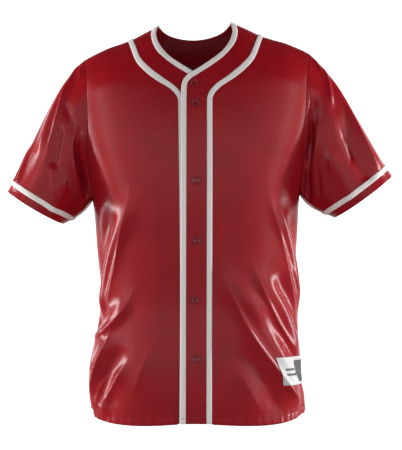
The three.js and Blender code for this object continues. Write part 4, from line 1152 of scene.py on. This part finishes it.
down = np.linspace(0, 1, PATCH_GRID[0])[:, None]
out = np.linspace(0, 1, PATCH_GRID[1])[None, :]
inner_turn = PATCH["turn_low"] + (PATCH["turn_top"] - PATCH["turn_low"]) * down
turn = np.radians(inner_turn + (PATCH["turn_outer"] - inner_turn) * out)
z = PATCH["low"] + (PATCH["high"] - PATCH["low"]) * down + 0 * out
point, normal, _ = body_surface(-1, *place_at_height(turn, z))
flat = paired(out, down)
lift = PATCH_THICKNESS + PATCH_CLEAR
patch = shell("hem_patch_label", point, normal, flat, PATCH_THICKNESS, lift=lift)
stand_in(patch, "hem_patch", woven)
fronts["left"]["sewing"].append(patch)

# The studio: a round pale room whose floor curves up into its wall. The wall is brightest
# behind the garment and dimmest at its sides, so that the satin cloth shows dark flanks and
# clear folds, and upright strips of light beside it draw bright lines along them.
ROOM = {"floor": -1100, "flat": 5200, "bend": 1000, "top": 2700, "bend_rows": 13, "columns": 96}
ROOM_GREY = "#303030"
ROOM_ROUGHNESS = 0.9
ROOM_GLOW = 1.8
ROOM_LEVELS = table("y share", (-3000, 0.72), (-1500, 0.24), (4700, 0.26), (6000, 1.0))
FLOOR_GLOW = {"dim": 0.3, "bright": 1.1, "from": 300, "to": 2300, "low": -1050, "high": -500}
LIGHTS = {
    "strip": {"at": (2500, 250, -150), "size": (90, 1800), "power": 72},
    "slot": {"at": (2300, -1350, 0), "size": (60, 1900), "power": 7},
}
WHITE = "#FFFFFF"
WORLD_STRENGTH = 0.05
# Matt seamless paper that glows by itself, more behind the garment and in front of it than
# at its sides, so that it stays clean and free of shadows.
paper, tree, shader = new_material("backdrop_paper")
place = add_node(tree, "ShaderNodeTexCoord").outputs["Object"]
room_axes = add_node(tree, "ShaderNodeSeparateXYZ", {"Vector": place})
room_radius = (ROOM["flat"] + ROOM["bend"]) * MM
through = {"Value": room_axes.outputs["Y"], "From Min": -room_radius, "From Max": room_radius}
depth = add_node(tree, "ShaderNodeMapRange", through)
levels = add_node(tree, "ShaderNodeValToRGB", {"Fac": depth.outputs["Result"]})
ramp = levels.color_ramp
while len(ramp.elements) < len(ROOM_LEVELS["y"]):
    ramp.elements.new(0.5)
for stop, y, share in zip(ramp.elements, *ROOM_LEVELS.values()):
    stop.position = (y * MM + room_radius) / (2 * room_radius)
    stop.color = (share, share, share, 1)
ramp.interpolation = "EASE"
wall = {0: levels.outputs["Color"], 1: ROOM_GLOW}
wall_glow = add_node(tree, "ShaderNodeMath", wall, operation="MULTIPLY").outputs[0]
near_far = {"From Min": FLOOR_GLOW["from"] * MM, "From Max": FLOOR_GLOW["to"] * MM}
dim_bright = {"To Min": FLOOR_GLOW["dim"], "To Max": FLOOR_GLOW["bright"]}
backwards = {"Value": room_axes.outputs["Y"], **near_far, **dim_bright}
floor_glow = add_node(tree, "ShaderNodeMapRange", backwards, interpolation_type="SMOOTHSTEP")
low_high = {"From Min": FLOOR_GLOW["low"] * MM, "From Max": FLOOR_GLOW["high"] * MM}
upwards = {"Value": room_axes.outputs["Z"], **low_high}
wall_share = add_node(tree, "ShaderNodeMapRange", upwards).outputs["Result"]
glows = {0: wall_share, 2: floor_glow.outputs["Result"], 3: wall_glow}
set_inputs(tree, shader, {
    "Base Color": colour(ROOM_GREY),
    "Roughness": ROOM_ROUGHNESS,
    "Emission Color": colour(WHITE),
    "Emission Strength": add_node(tree, "ShaderNodeMix", glows).outputs[0],
})
bend = np.linspace(0, QUARTER, ROOM["bend_rows"])
radii = [0, *(ROOM["flat"] + ROOM["bend"] * np.sin(bend)), ROOM["flat"] + ROOM["bend"]]
heights = [ROOM["floor"], *(ROOM["floor"] + ROOM["bend"] * (1 - np.cos(bend))), ROOM["top"]]
turns = np.linspace(0, 2 * math.pi, ROOM["columns"] + 1)[:-1]
corners = [
    (r * math.cos(a) * MM, r * math.sin(a) * MM, z * MM) for r, z in zip(radii, heights) for a in turns
]
index = np.arange(len(corners)).reshape(len(radii), len(turns))
after = np.roll(index, -1, axis=1)
faces = np.stack([index[:-1], after[:-1], after[1:], index[1:]], axis=-1).reshape(-1, 4).tolist()
room = placed("backdrop", bpy.data.meshes.new("backdrop"))
room.data.from_pydata(corners, [], faces)
room.data.materials.append(paper)
aim = Vector((0, 0, CAMERA["z"])) * MM
for side_name, side in (("left", 1), ("right", -1)):
    for kind, light in LIGHTS.items():
        name = f"{kind}_{side_name}"
        x, y, z = light["at"]
        lamp = placed(name, bpy.data.lights.new(name, "AREA"))
        lamp.data.shape = "RECTANGLE"
        lamp.data.size, lamp.data.size_y = (length * MM for length in light["size"])
        lamp.data.energy = light["power"]
        lamp.location = Vector((side * x, y, z)) * MM
        lamp.rotation_euler = (aim - lamp.location).to_track_quat("-Z", "Y").to_euler()
world = bpy.data.worlds.new("studio")
bpy.context.scene.world = world
world.use_nodes = True
background = world.node_tree.nodes["Background"]
set_inputs(world.node_tree, background, {"Color": colour(WHITE), "Strength": WORLD_STRENGTH})
bpy.context.scene.view_settings.view_transform = "Standard"
